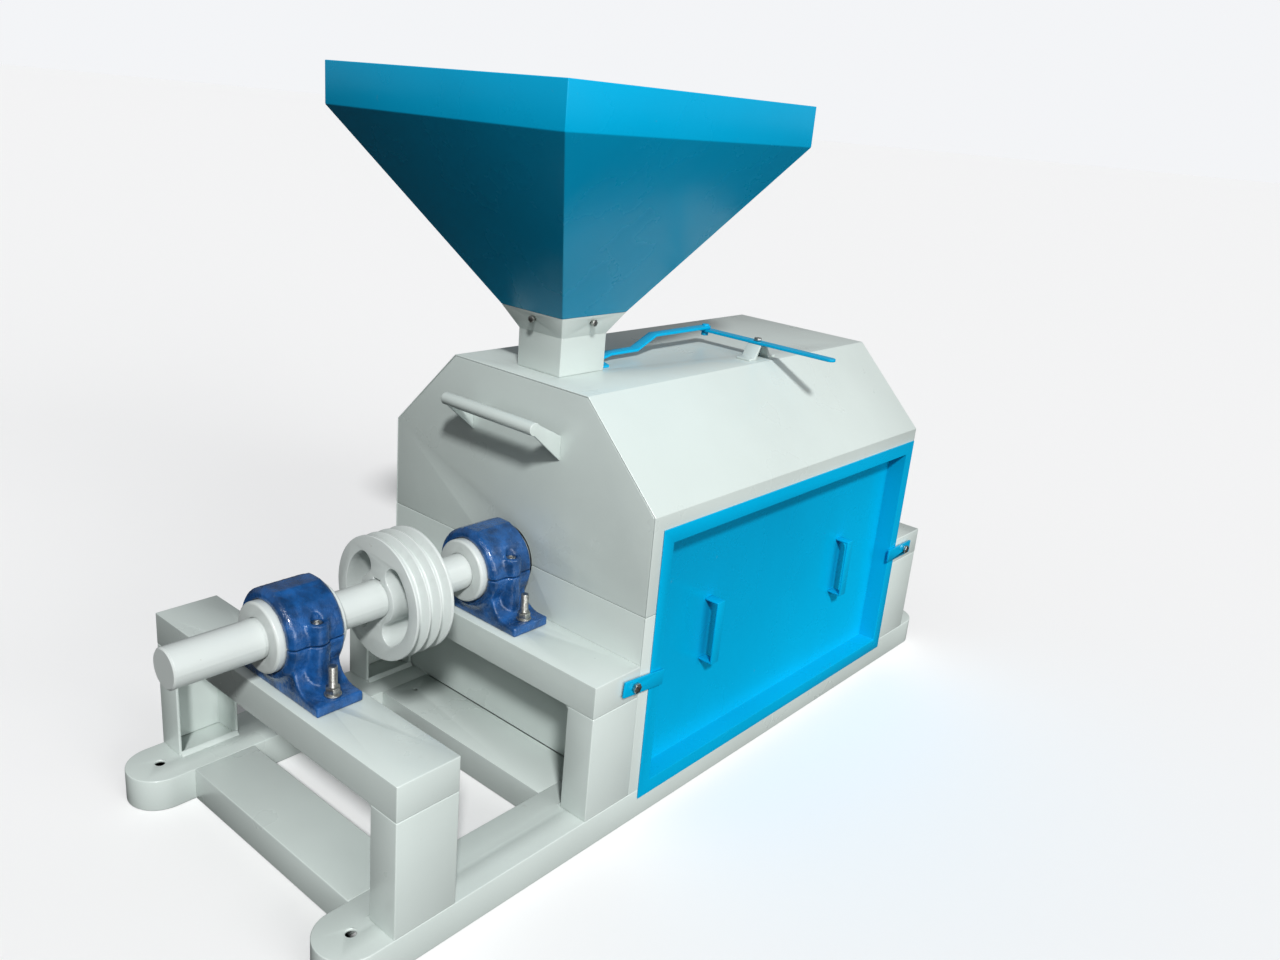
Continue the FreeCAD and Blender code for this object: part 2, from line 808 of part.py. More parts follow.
def door_handle(back, centre_y, centre_z):
    """Flat strip bent into a square bow."""
    half = dim.door_handle_height / 2
    reach = back + dim.door_handle_reach
    gauge = dim.door_handle_gauge
    low_y = centre_y - dim.door_handle_strip / 2
    high_y = centre_y + dim.door_handle_strip / 2
    bow = box((back, low_y, centre_z - half), (reach, high_y, centre_z + half))
    gap = box((back - gauge, low_y - gauge, centre_z - half + gauge),
              (reach - gauge, high_y + gauge, centre_z + half - gauge))
    return cut(bow, gap)


LATCH_X = DOOR_FACE + dim.seat_gap
LATCH_SPOTS = {
    "front": (along(dim.middle_bridge_start + dim.channel_width) - dim.latch_front_inset, 1),
    "rear": (along(dim.rear_bridge_start) + dim.latch_rear_inset, -1),
}


def latch(name):
    """Flat turn-button: it pivots on a bolt in the post and its long end holds the door."""
    pivot_y, towards_door = LATCH_SPOTS[name]
    strip = box((0, -dim.latch_tail, -dim.latch_width / 2),
                (dim.latch_gauge, dim.latch_length - dim.latch_tail, dim.latch_width / 2))
    hole = cylinder((-dim.latch_gauge, 0, 0), dim.latch_bolt_radius + dim.insert_play,
                    3 * dim.latch_gauge, "X")
    button = cut(strip, hole)
    facing = 0 if towards_door > 0 else 180
    turn = FreeCAD.Rotation(X_AXIS, facing)
    if name == "front":
        turn = FreeCAD.Rotation(X_AXIS, -dim.latch_tilt.value)
    place(button, (LATCH_X, pivot_y, dim.latch_height), turn)
    if name == "front":
        button.setExpression("Placement.Rotation.Angle", (-dim.latch_tilt).text)
    sub_part(button, f"latch_{name}")


def latch_bolts():
    """Pivot bolt of each latch, with a spacer behind the strip and a hex head in front."""
    bolts = []
    for pivot_y, _ in LATCH_SPOTS.values():
        spot_z = dim.latch_height
        spacer = cylinder((dim.half_width, pivot_y, spot_z), 2 * dim.latch_bolt_radius,
                          LATCH_X - dim.half_width - dim.seat_gap, "X")
        shank = cylinder((dim.half_width, pivot_y, spot_z), dim.latch_bolt_radius,
                         LATCH_X - dim.half_width + dim.latch_gauge + dim.seat_gap, "X")
        head = hexagon((LATCH_X + dim.latch_gauge + dim.seat_gap, pivot_y, spot_z),
                       3 * dim.latch_bolt_radius, 1.3 * dim.latch_bolt_radius, "X")
        bolts.append(fuse(spacer, shank, head))
    sub_part(group(*bolts), "latch_bolts")


# ---------------------------------------------------------------------------------------------
# Feed: neck, hopper, gate and lever
# ---------------------------------------------------------------------------------------------


def feed_neck():
    """Square duct on the hood with a flared collar and a slot for the gate at its foot."""
    half = (dim.neck_half_x, dim.neck_half_y)
    bore = (dim.neck_half_x - dim.neck_wall, dim.neck_half_y - dim.neck_wall)
    collar = (dim.collar_half_x, dim.collar_half_y)
    collar_bore = (dim.collar_half_x - dim.neck_wall, dim.collar_half_y - dim.neck_wall)
    duct = box((-half[0], NECK_Y - half[1], HOOD_TOP), (half[0], NECK_Y + half[1], NECK_TOP))
    duct_bore = box((-bore[0], NECK_Y - bore[1], HOOD_TOP), (bore[0], NECK_Y + bore[1], NECK_TOP))
    flare = frustum(NECK_Y, NECK_TOP, half, COLLAR_TOP, collar)
    flare_bore = frustum(NECK_Y, NECK_TOP, bore, COLLAR_TOP, collar_bore)
    slot_half = dim.gate_half_width + dim.slot_play
    slot_top = HOOD_TOP + dim.gate_gauge + dim.slot_play
    slot = box((-slot_half, NECK_Y, HOOD_TOP), (slot_half, NECK_Y + 2 * half[1], slot_top))
    notch_half = dim.strip_width / 2 + dim.slot_play
    notch = box((LINK_X - notch_half, NECK_Y, HOOD_TOP),
                (LINK_X + notch_half, NECK_Y + 2 * half[1], slot_top + dim.strip_gauge + dim.slot_play))
    sub_part(cut(fuse(duct, flare), fuse(duct_bore, flare_bore), slot, notch,
                 *hopper_bolt_shanks(dim.insert_play)), "feed_neck")


def collar_inside(height):
    """Half sizes of the collar's inner face at a height."""
    share = (height - NECK_TOP) / (COLLAR_TOP - NECK_TOP)
    low = (dim.neck_half_x - dim.neck_wall, dim.neck_half_y - dim.neck_wall)
    high = (dim.collar_half_x - dim.neck_wall, dim.collar_half_y - dim.neck_wall)
    return [start + (end - start) * share for start, end in zip(low, high)]


def hopper():
    """Pyramid hopper with an upright rim band; its skirt stands inside the collar."""
    skirt_low = COLLAR_TOP - dim.skirt_depth
    seat = COLLAR_TOP + dim.seat_gap
    play = dim.seat_gap

    def shrunk(pair, amount):
        return [edge - amount for edge in pair]

    low_out = shrunk(collar_inside(skirt_low), play)
    seat_out = shrunk(collar_inside(COLLAR_TOP), play)
    base = (dim.collar_half_x, dim.collar_half_y)
    rim = (dim.rim_half_x, dim.rim_half_y)
    outside = fuse(
        frustum(NECK_Y, skirt_low, low_out, seat, seat_out),
        frustum(NECK_Y, seat, base, RIM_BOTTOM, rim),
        box((-rim[0], NECK_Y - rim[1], RIM_BOTTOM), (rim[0], NECK_Y + rim[1], RIM_TOP)),
    )
    wall = dim.sheet
    low_in, seat_in, rim_in = (shrunk(pair, wall) for pair in (low_out, seat_out, rim))
    inside = fuse(
        frustum(NECK_Y, skirt_low, low_in, seat, seat_in),
        frustum(NECK_Y, seat, seat_in, RIM_BOTTOM, rim_in),
        box((-rim_in[0], NECK_Y - rim_in[1], RIM_BOTTOM),
            (rim_in[0], NECK_Y + rim_in[1], RIM_TOP)),
    )
    sub_part(cut(outside, inside, *hopper_bolt_shanks(dim.insert_play)), "hopper")


BOLT_Z = COLLAR_TOP - dim.skirt_depth / 2


def hopper_bolt_shanks(play):
    """One bar through each face of the collar, shared by the bolts and their holes."""
    reach_x, reach_y = collar_inside(BOLT_Z)
    radius = dim.hopper_bolt_radius + play
    inner = 4 * dim.neck_wall
    outer = 2 * dim.neck_wall
    return [
        cylinder((reach_x - inner, NECK_Y, BOLT_Z), radius, inner + outer, "X"),
        cylinder((-reach_x - outer, NECK_Y, BOLT_Z), radius, inner + outer, "X"),
        cylinder((0, NECK_Y + reach_y - inner, BOLT_Z), radius, inner + outer, "Y"),
        cylinder((0, NECK_Y - reach_y - outer, BOLT_Z), radius, inner + outer, "Y"),
    ]


def hopper_bolts():
    """Hex bolts that clamp the hopper's skirt in the collar."""
    reach_x, reach_y = collar_inside(BOLT_Z)
    across = 3.25 * dim.hopper_bolt_radius
    height = 1.4 * dim.hopper_bolt_radius
    lift = 2 * dim.neck_wall
    heads = [
        hexagon((reach_x + lift, NECK_Y, BOLT_Z), across, height, "X"),
        hexagon((-reach_x - lift - height, NECK_Y, BOLT_Z), across, height, "X"),
        hexagon((0, NECK_Y + reach_y + lift, BOLT_Z), across, height, "Y"),
        hexagon((0, NECK_Y - reach_y - lift - height, BOLT_Z), across, height, "Y"),
    ]
    shanks = hopper_bolt_shanks(as_size(0))
    sub_part(group(*[fuse(shank, head) for shank, head in zip(shanks, heads)]), "hopper_bolts")


NECK_REAR = NECK_Y + dim.neck_half_y


def feed_gate():
    """Slide plate: half across the inlet at rest, with a tapered tail behind the neck."""
    half = dim.gate_half_width
    narrow = dim.strip_width / 2
    rear = NECK_REAR + dim.gate_tail
    outline = [
        (-half, NECK_Y),
        (half, NECK_Y),
        (half, rear - dim.gate_tail / 3),
        (LINK_X + narrow, rear),
        (LINK_X - narrow, rear),
        (-half, rear - dim.gate_tail / 3),
    ]
    sub_part(extrude("XY", (0, 0, HOOD_TOP + dim.gate_play), dim.gate_gauge, outline), "feed_gate")


def gate_link():
    """Joggled flat bar from the gate up to the lever, with its pin riveted in."""
    low = HOOD_TOP + dim.gate_play + dim.gate_gauge
    mid = HOOD_TOP + dim.link_low
    high = LINK_TOP_BOTTOM
    start = NECK_REAR + dim.gate_tail / 3
    tail = NECK_REAR + dim.gate_tail
    end = along(dim.pivot_along)
    gauge = dim.strip_gauge
    joggle = along(dim.link_joggle)
    lower = [
        (start, low),
        (tail, low),
        (tail + dim.link_ramp, mid),
        (joggle - dim.link_ramp, mid),
        (joggle + dim.link_ramp, high),
        (end, high),
    ]
    upper = [(across, up + gauge) for across, up in reversed(lower)]
    bar = extrude("YZ", (LINK_X - dim.strip_width / 2, 0, 0), dim.strip_width, lower + upper)
    eye = cylinder((LINK_X, end, high), dim.strip_width / 2, gauge)
    foot = LEVER_BOTTOM - 2 * dim.pin_radius
    pin = cylinder((LINK_X, end, foot), dim.pin_radius, high - foot + gauge / 2)
    head = cylinder((LINK_X, end, high + gauge), 1.6 * dim.pin_radius, 0.8 * dim.pin_radius)
    nut = hexagon((LINK_X, end, foot), 3.2 * dim.pin_radius, 1.6 * dim.pin_radius)
    sub_part(fuse(bar, eye, pin, head, nut), "gate_link")


def gate_lever():
    """Flat hand lever: a slotted inner end for the link's pin and a rounded grip end."""
    centre_y = along(dim.pivot_along)
    half = dim.strip_width / 2
    low = LEVER_BOTTOM
    gauge = dim.strip_gauge
    inner = LINK_X - dim.lever_slot_travel
    outer = dim.pivot_across + dim.lever_reach
    bar = box((inner, centre_y - half, low), (outer, centre_y + half, low + gauge))
    ends = [cylinder((spot, centre_y, low), half, gauge) for spot in (inner, outer)]
    slot_radius = dim.pin_radius + dim.lever_slot_play
    slot_ends = [
        cylinder((spot, centre_y, low), slot_radius, gauge) for spot in (inner, LINK_X)
    ]
    slot = box((inner, centre_y - slot_radius, low), (LINK_X, centre_y + slot_radius, low + gauge))
    pivot = cylinder((dim.pivot_across, centre_y, low), dim.pin_radius + dim.insert_play, gauge)
    sub_part(cut(fuse(bar, *ends), slot, pivot, *slot_ends), "gate_lever")


def lever_bracket():
    """Strap folded into a hat: two feet on the hood and a flat crown that carries the lever."""
    centre_y = along(dim.pivot_along)
    crown = dim.strip_width / 2
    spread = crown + dim.bracket_height / 2
    foot = spread + dim.bracket_foot
    top = HOOD_TOP + dim.bracket_height
    gauge = dim.bracket_gauge
    outline = [
        (centre_y - foot, HOOD_TOP),
        (centre_y - spread + gauge, HOOD_TOP),
        (centre_y - crown + gauge / 2, top - gauge),
        (centre_y + crown - gauge / 2, top - gauge),
        (centre_y + spread - gauge, HOOD_TOP),
        (centre_y + foot, HOOD_TOP),
        (centre_y + foot, HOOD_TOP + gauge),
        (centre_y + spread + gauge / 2, HOOD_TOP + gauge),
        (centre_y + crown, top),
        (centre_y - crown, top),
        (centre_y - spread - gauge / 2, HOOD_TOP + gauge),
        (centre_y - foot, HOOD_TOP + gauge),
    ]
    start = dim.pivot_across - dim.bracket_width / 2
    strap = extrude("YZ", (start, 0, 0), dim.bracket_width, outline)
    hole = cylinder((dim.pivot_across, centre_y, top - 2 * gauge), dim.pin_radius + dim.insert_play,
                    3 * gauge)
    sub_part(cut(strap, hole), "lever_bracket")


def lever_pivot_bolt():
    """Bolt through the bracket's crown and the lever, with a nut under the crown."""
    centre_y = along(dim.pivot_along)
    crown = HOOD_TOP + dim.bracket_height
    nut_height = 1.6 * dim.pin_radius
    low = crown - dim.bracket_gauge - nut_height - dim.gate_play
    high = LEVER_BOTTOM + dim.strip_gauge + dim.gate_play
    shank = cylinder((dim.pivot_across, centre_y, low), dim.pin_radius, high - low)
    nut = hexagon((dim.pivot_across, centre_y, low), 3.2 * dim.pin_radius, nut_height)
    head = hexagon((dim.pivot_across, centre_y, high), 3.2 * dim.pin_radius, 1.3 * dim.pin_radius)
    sub_part(fuse(shank, nut, head), "lever_pivot_bolt")


# ---------------------------------------------------------------------------------------------
# Shaft line: shaft, keys, pulley, bearings
# ---------------------------------------------------------------------------------------------

SHAFT_FRONT = along(dim.shaft_front)
SHAFT_REAR = along(dim.shaft_rear)
SEAL_FRONT = BEARING_Y["front"] - dim.barrel_length / 2 - dim.seal_reach
PULLEY_Y = along(dim.pulley_start)
KEY_BOTTOM = AXIS_Z + dim.shaft_radius - dim.key_seat
KEY_SPANS = (
    (PULLEY_Y + dim.groove_edge / 2, PULLEY_Y + PULLEY_FACE - dim.groove_edge / 2),
    (ROTOR_FRONT + dim.screw_length, ROTOR_FRONT + ROTOR_LENGTH - dim.screw_length),
)


def key_blank(span, play):
    half = dim.key_width / 2 - play
    return box((-half, span[0] + play, KEY_BOTTOM + play),
               (half, span[1] - play, KEY_BOTTOM + dim.key_height - play))


def shaft():
    """Shaft with chamfered ends, a shallow relief behind the free end's seat and sunk keyways."""
    edge = dim.shaft_chamfer
    length = SHAFT_REAR - SHAFT_FRONT
    relief_end = SEAL_FRONT - SHAFT_FRONT
    relief_start = relief_end - dim.seat_relief
    relief_radius = dim.shaft_radius - dim.seat_relief_depth
    bar = turned((0, SHAFT_FRONT, AXIS_Z), [
        (0, 0),
        (dim.shaft_radius - edge, 0),
        (dim.shaft_radius, edge),
        (dim.shaft_radius, relief_start),
        (relief_radius, relief_start),
        (relief_radius, relief_end),
        (dim.shaft_radius, relief_end),
        (dim.shaft_radius, length - edge),
        (dim.shaft_radius - edge, length),
        (0, length),
    ])
    none = as_size(0)
    sub_part(cut(bar, *[key_blank(span, none) for span in KEY_SPANS]), "shaft")
    sub_part(group(*[key_blank(span, dim.key_play) for span in KEY_SPANS]), "shaft_keys")


def pulley():
    """V-belt pulley: grooved rim, plain hub and two curved windows that leave two arms."""
    body = new_body("pulley", (0, PULLEY_Y, AXIS_Z), SKETCH_TURNS["XZ"])
    disc = body_sketch(body, "XY_Plane")
    draw_circle(disc, 0, 0, dim.pulley_radius)
    draw_circle(disc, 0, 0, dim.shaft_radius + dim.insert_play)
    pad(body, disc, PULLEY_FACE).Reversed = True
    groove = body_sketch(body, "YZ_Plane")
    centre = -dim.groove_edge
    draw_polygon(groove, [
        (dim.pulley_radius, centre - dim.groove_mouth / 2),
        (dim.pulley_radius, centre + dim.groove_mouth / 2),
        (dim.pulley_radius - dim.groove_depth, centre + dim.groove_floor / 2),
        (dim.pulley_radius - dim.groove_depth, centre - dim.groove_floor / 2),
    ])
    turn = body.newObject("PartDesign::Groove", "groove")
    turn.Profile = groove
    turn.ReferenceAxis = (groove, ["V_Axis"])
    turn.Angle = 360.0
    row = body.newObject("PartDesign::LinearPattern", "grooves")
    row.Originals = [turn]
    row.Direction = (disc, ["N_Axis"])
    row.Reversed = True
    row.Occurrences = int(dim.groove_count.value)
    row.setExpression("Length", (dim.groove_pitch * (dim.groove_count - 1)).text)
    row.setExpression("Occurrences", dim.groove_count.text)
    body.Tip = row
    window = body_sketch(body, "XY_Plane")
    draw_arc_slot(window, dim.pulley_hub_radius, dim.pulley_rim_radius, dim.window_sweep,
                  dim.window_turn)
    opening = pocket(body, window, PULLEY_FACE)
    polar_pattern(body, opening, disc, as_size(2))
    keyway = body_sketch(body, "XY_Plane")
    half = dim.key_width / 2
    top = dim.shaft_radius - dim.key_seat + dim.key_height
    draw_polygon(keyway, [(-half, 0), (half, 0), (half, top), (-half, top)])
    pocket(body, keyway, PULLEY_FACE)


def draw_arc_slot(sketch, inner, outer, sweep, turn):
    """A curved slot about the origin with round ends; the sweep is the angle between end centres."""
    middle = (inner + outer) / 2
    half_width = (outer - inner) / 2
    half_sweep = math.radians(sweep.value / 2)
    lean = math.radians(turn.value)
    origin = FreeCAD.Vector()

    def polar(radius, angle):
        return FreeCAD.Vector(radius * math.cos(angle), radius * math.sin(angle), 0)

    low, high = lean - half_sweep, lean + half_sweep
    rings = [Part.Circle(origin, Z_AXIS, radius.value) for radius in (outer, inner)]
    ends = [Part.Circle(polar(middle.value, angle), Z_AXIS, half_width.value) for angle in (high, low)]
    first = sketch.GeometryCount
    sketch.addGeometry(Part.ArcOfCircle(rings[0], low, high), False)
    sketch.addGeometry(Part.ArcOfCircle(ends[0], high, high + math.pi), False)
    sketch.addGeometry(Part.ArcOfCircle(rings[1], low, high), False)
    sketch.addGeometry(Part.ArcOfCircle(ends[1], low + math.pi, low + 2 * math.pi), False)
    arc_out, end_high, arc_in, end_low = range(first, first + 4)
    for ring in (arc_out, arc_in):
        sketch.addConstraint(Sketcher.Constraint("Coincident", ring, 3, -1, 1))
    for one, one_end, other, other_end in (
        (arc_out, 2, end_high, 1),
        (end_high, 2, arc_in, 2),
        (arc_in, 1, end_low, 1),
        (end_low, 2, arc_out, 1),
    ):
        sketch.addConstraint(Sketcher.Constraint("Tangent", one, one_end, other, other_end))
    bound = [
        (Sketcher.Constraint("Radius", arc_out, outer.value), outer),
        (Sketcher.Constraint("Radius", arc_in, inner.value), inner),
    ]
    for ring, angle, lean_size in ((end_high, high, turn + sweep / 2), (end_low, low, turn - sweep / 2)):
        rise = middle * sine(lean_size)
        bound.append((Sketcher.Constraint("DistanceY", -1, 1, ring, 3, rise.value), rise))
    for constraint, amount in bound:
        row = sketch.addConstraint(constraint)
        sketch.setExpression(f"Constraints[{row}]", amount.text)


FOOT_TOP = dim.bridge_top + dim.bearing_foot_height


def bearing_casting(centre_y):
    """Uncut casting of one bearing: foot, flared stem, barrel and bolt columns, in one piece."""
    half_depth = dim.bearing_foot_depth / 2
    front, rear = centre_y - half_depth, centre_y + half_depth
    foot = box((-dim.bearing_foot_half, front, dim.bridge_top),
               (dim.bearing_foot_half, rear, FOOT_TOP))
    spread = dim.bearing_stem_half + dim.bearing_flare
    flare_top = FOOT_TOP + dim.bearing_flare
    stem = box((-spread, front, FOOT_TOP), (spread, rear, flare_top))
    hollows = [
        cylinder((sign * spread, front - half_depth, flare_top), dim.bearing_flare,
                 4 * half_depth, "Y")
        for sign in (-1, 1)
    ]
    neck = box((-dim.bearing_stem_half, front, FOOT_TOP), (dim.bearing_stem_half, rear, AXIS_Z))
    barrel = barrel_blank(centre_y)
    columns = [
        cylinder((sign * dim.column_offset, centre_y, FOOT_TOP), dim.column_radius,
                 AXIS_Z + dim.column_rise - FOOT_TOP)
        for sign in (-1, 1)
    ]
    pad_top = AXIS_Z + dim.barrel_radius + dim.cap_pad_rise - 3
    pad_half = dim.barrel_length / 2 - dim.barrel_chamfer
    crown = box((-dim.cap_pad_half, centre_y - pad_half, AXIS_Z),
                (dim.cap_pad_half, centre_y + pad_half, pad_top))
    return fuse(foot, cut(stem, *hollows), neck, barrel, crown, *columns)


def barrel_blank(centre_y):
    half = dim.barrel_length / 2
    edge = dim.barrel_chamfer
    return turned((0, centre_y, AXIS_Z), [
        (0, -half),
        (dim.barrel_radius - edge, -half),
        (dim.barrel_radius, edge - half),
        (dim.barrel_radius, half - edge),
        (dim.barrel_radius - edge, half),
        (0, half),
    ])


def bearing_cuts(centre_y):
    """Bore and bolt holes of one bearing."""
    length = 2 * dim.barrel_length
    bore = cylinder((0, centre_y - dim.barrel_length, AXIS_Z), dim.bearing_bore, length, "Y")
    holes = []
    for sign in (-1, 1):
        holes.append(cylinder((sign * dim.stud_offset, centre_y, dim.bridge_top),
                              dim.stud_radius + dim.stud_hole_play, dim.bearing_foot_height))
        holes.append(cylinder((sign * dim.column_offset, centre_y, FOOT_TOP),
                              dim.cap_bolt_radius + dim.insert_play, 2 * dim.centre_height))
        holes.append(cylinder((sign * dim.stud_offset, centre_y, FOOT_TOP),
                              dim.washer_radius + dim.spot_face_play, dim.bearing_flare))
    column_top = AXIS_Z + dim.column_rise
    socket_room = cylinder((dim.column_offset, centre_y, column_top - dim.cap_head_height),
                           dim.cap_head_across / 2 + dim.spot_face_play, 2 * dim.centre_height)
    head_room = cylinder((-dim.column_offset, centre_y, column_top),
                         dim.cap_head_across / 2 / cosine(30) + dim.spot_face_play,
                         2 * dim.centre_height)
    return [bore, socket_room, head_room, *holes]


def bearing(name):
    """Split housing: the base carries the lower half of the barrel, the cap the upper half."""
    centre_y = BEARING_Y[name]
    reach = 2 * dim.bearing_foot_half
    whole = cut(bearing_casting(centre_y), *bearing_cuts(centre_y))
    lower = box((-reach, centre_y - reach, dim.bridge_top), (reach, centre_y + reach, AXIS_Z))
    upper = box((-reach, centre_y - reach, AXIS_Z + dim.cap_gap),
                (reach, centre_y + reach, AXIS_Z + reach))
    sub_part(common(whole, lower), f"bearing_base_{name}")
    sub_part(common(whole, upper), f"bearing_cap_{name}")


def ring(centre_y, start, end, outer, bore, edge):
    """A turned ring on the shaft line with its outer face edge chamfered."""
    low, high = sorted((start, end), key=lambda amount: amount.value)
    outline = [(bore, low), (outer, low), (outer, high), (bore, high)]
    if edge is not None:
        face = end.value > start.value
        corner = [(outer, end - edge), (outer - edge, end)]
        if face:
            outline = [(bore, start), (outer, start), *corner, (bore, end)]
        else:
            corner = [(outer - edge, end), (outer, end + edge)]
            outline = [(bore, end), *corner, (outer, start), (bore, start)]
    return turned((0, centre_y, AXIS_Z), outline)


def bearing_fittings():
    """Seal discs, bearing inserts, cap bolts and foundation studs of the three bearings."""
    seals, inserts, studs, cap_bolts = [], [], [], []
    outer = dim.barrel_length / 2 + dim.seal_reach
    inner = dim.barrel_length / 2 - dim.seal_inset
    seal_bore = dim.shaft_radius + dim.seal_play
    insert_half = inner - dim.seat_gap
    for centre_y in BEARING_Y.values():
        seals.append(ring(centre_y, -inner, -outer, dim.seal_radius, seal_bore, dim.sheet))
        seals.append(ring(centre_y, inner, outer, dim.seal_radius, seal_bore, dim.sheet))
        inserts.append(ring(centre_y, -insert_half, insert_half, dim.seal_radius,
                            dim.shaft_radius + dim.insert_play, None))
        for sign in (-1, 1):
            studs.append(foot_stud(sign * dim.stud_offset, centre_y))
            cap_bolts.append(cap_bolt(sign, centre_y))
    sub_part(group(*seals), "bearing_seals")
    sub_part(group(*inserts), "bearing_inserts")
    sub_part(group(*studs), "bearing_studs")
    sub_part(group(*cap_bolts), "cap_bolts")


def foot_stud(across, centre_y):
    """Stud with a washer and nut on the foot and a nut under the bridge's web."""
    under = dim.bridge_top - dim.web_thickness
    bottom = under - dim.nut_height - dim.washer_gauge
    top = FOOT_TOP + dim.stud_top_rise
    stem = cylinder((across, centre_y, bottom), dim.stud_radius, top - bottom)
    washer = cylinder((across, centre_y, FOOT_TOP), dim.washer_radius, dim.washer_gauge)
    nut = hexagon((across, centre_y, FOOT_TOP + dim.washer_gauge), dim.nut_across, dim.nut_height)
    lower_nut = hexagon((across, centre_y, under - dim.nut_height), dim.nut_across, dim.nut_height)
    return fuse(stem, washer, nut, lower_nut)


def cap_bolt(sign, centre_y):
    """Cap screw: hex head on the far column, head sunk in the near one."""
    across = sign * dim.column_offset
    top = AXIS_Z + dim.column_rise
    foot = FOOT_TOP + dim.bearing_foot_height
    if sign < 0:
        head = hexagon((across, centre_y, top), dim.cap_head_across, dim.cap_head_height)
        return fuse(cylinder((across, centre_y, foot), dim.cap_bolt_radius, top - foot), head)
    seat = top - dim.cap_head_height
    head = cylinder((across, centre_y, seat), dim.cap_head_across / 2, dim.cap_head_height * 0.8)
    socket = hexagon((across, centre_y, seat + dim.cap_head_height * 0.3), dim.cap_head_across / 2,
                     dim.cap_head_height)
    stem = cylinder((across, centre_y, foot), dim.cap_bolt_radius, seat - foot)
    return cut(fuse(stem, head), socket)


# ---------------------------------------------------------------------------------------------
# Hulling chamber: rotor, cover, trough, screens, blade
# ---------------------------------------------------------------------------------------------


def huller_cylinder():
    """Cast rotor: a cored barrel with straight ribs and a steep multi-start feed screw."""
    body = new_body("huller_cylinder", (0, ROTOR_FRONT + ROTOR_LENGTH, AXIS_Z), SKETCH_TURNS["XZ"])
    core = body_sketch(body, "XY_Plane")
    draw_circle(core, 0, 0, dim.rotor_radius)
    draw_circle(core, 0, 0, dim.shaft_radius + dim.insert_play)
    pad(body, core, ROTOR_LENGTH)
    rib = body_sketch(body, "XY_Plane")
    half = dim.rib_width / 2
    root = dim.rotor_radius - dim.rib_height / 2
    draw_polygon(rib, [
        (root, -half),
        (RIB_TIP - dim.rib_height / 3, -half),
        (RIB_TIP, -half / 2),
        (RIB_TIP, half / 2),
        (RIB_TIP - dim.rib_height / 3, half),
        (root, half),
    ])
    straight = pad(body, rib, ROTOR_LENGTH - dim.screw_length)
    polar_pattern(body, straight, core, dim.rib_count)
    flight = body_sketch(body, "XZ_Plane")
    start = ROTOR_LENGTH - dim.screw_length
    draw_polygon(flight, [(root, start), (RIB_TIP, start + half / 2), (RIB_TIP, start + 3 * half / 2),
                          (root, start + 2 * half)])
    screw = body.newObject("PartDesign::AdditiveHelix", "flight")
    screw.Profile = flight
    screw.ReferenceAxis = (flight, ["V_Axis"])
    screw.Mode = "pitch-height-angle"
    bind(screw, Pitch=dim.screw_pitch, Height=dim.screw_length - 2 * dim.rib_width)
    screw.Angle = 0.0
    polar_pattern(body, screw, core, dim.screw_starts)
    keyway = body_sketch(body, "XY_Plane")
    key_half = dim.key_width / 2
    top = dim.shaft_radius - dim.key_seat + dim.key_height
    draw_polygon(keyway, [(-key_half, 0), (key_half, 0), (key_half, top), (-key_half, top)])
    pocket(body, keyway, ROTOR_LENGTH, reverse=True)


def chamber_ring(radius, grow=0):
    """A bar along the shaft line as long as the chamber, or longer by grow at each end."""
    return cylinder((0, CHAMBER_FRONT - grow, AXIS_Z), radius, CHAMBER_LENGTH + 2 * as_size(grow),
                    "Y")


def chamber_hollow():
    """The chamber's bore between its end walls, with the shaft's clearance through them."""
    wall = dim.chamber_end_wall
    bore = cylinder((0, CHAMBER_FRONT + wall, AXIS_Z), dim.chamber_radius,
                    CHAMBER_LENGTH - 2 * wall, "Y")
    return [bore, chamber_ring(dim.shaft_radius + 2 * dim.seal_play, wall)]


def flange_bolt_stations():
    """Distances of the flange bolts along the chamber."""
    count = int(dim.flange_bolts_a_side.value)
    first = CHAMBER_FRONT + 2 * dim.chamber_flange
    pitch = (CHAMBER_LENGTH - 4 * dim.chamber_flange) / (dim.flange_bolts_a_side - 1)
    return [first + index * pitch for index in range(count)]


def flange_bolt_bars(play):
    low = TROUGH_TOP - dim.chamber_flange_gauge - 2 * dim.flange_bolt_radius
    high = COVER_BOTTOM + dim.chamber_flange_gauge + 2 * dim.flange_bolt_radius
    return [
        cylinder((sign * FLANGE_BOLT_X, station, low), dim.flange_bolt_radius + play, high - low)
        for sign in (-1, 1)
        for station in flange_bolt_stations()
    ]


def chamber_cover():
    """Upper half of the chamber with side flanges and the feed mouth."""
    flange = box((-FLANGE_HALF, CHAMBER_FRONT, COVER_BOTTOM),
                 (FLANGE_HALF, CHAMBER_REAR, COVER_BOTTOM + dim.chamber_flange_gauge))
    shell = fuse(chamber_ring(CHAMBER_OUT), flange)
    above = box((-FLANGE_HALF, CHAMBER_FRONT, COVER_BOTTOM),
                (FLANGE_HALF, CHAMBER_REAR, AXIS_Z + 2 * CHAMBER_OUT))
    mouth = box((-dim.inlet_half_x, NECK_Y - dim.inlet_half_y, AXIS_Z),
                (dim.inlet_half_x, NECK_Y + dim.inlet_half_y, AXIS_Z + 2 * CHAMBER_OUT))
    sub_part(cut(common(shell, above), mouth, *chamber_hollow(), *flange_bolt_bars(dim.seat_gap)),
             "chamber_cover")


def screen_stations():
    """Front edge of each screen along the machine."""
    return [CHAMBER_FRONT + dim.screen_start + index * dim.screen_spacing for index in (0, 1)]


def sector_bar(half_angle, start, length, radius):
    """A wedge of material below the shaft line, symmetrical about the vertical."""
    reach_x = radius * sine(half_angle)
    reach_z = radius * cosine(half_angle)
    return extrude("XZ", (0, start, AXIS_Z), length, [
        (0, 0),
        (-reach_x, -reach_z),
        (-reach_x, -2 * radius),
        (reach_x, -2 * radius),
        (reach_x, -reach_z),
    ])


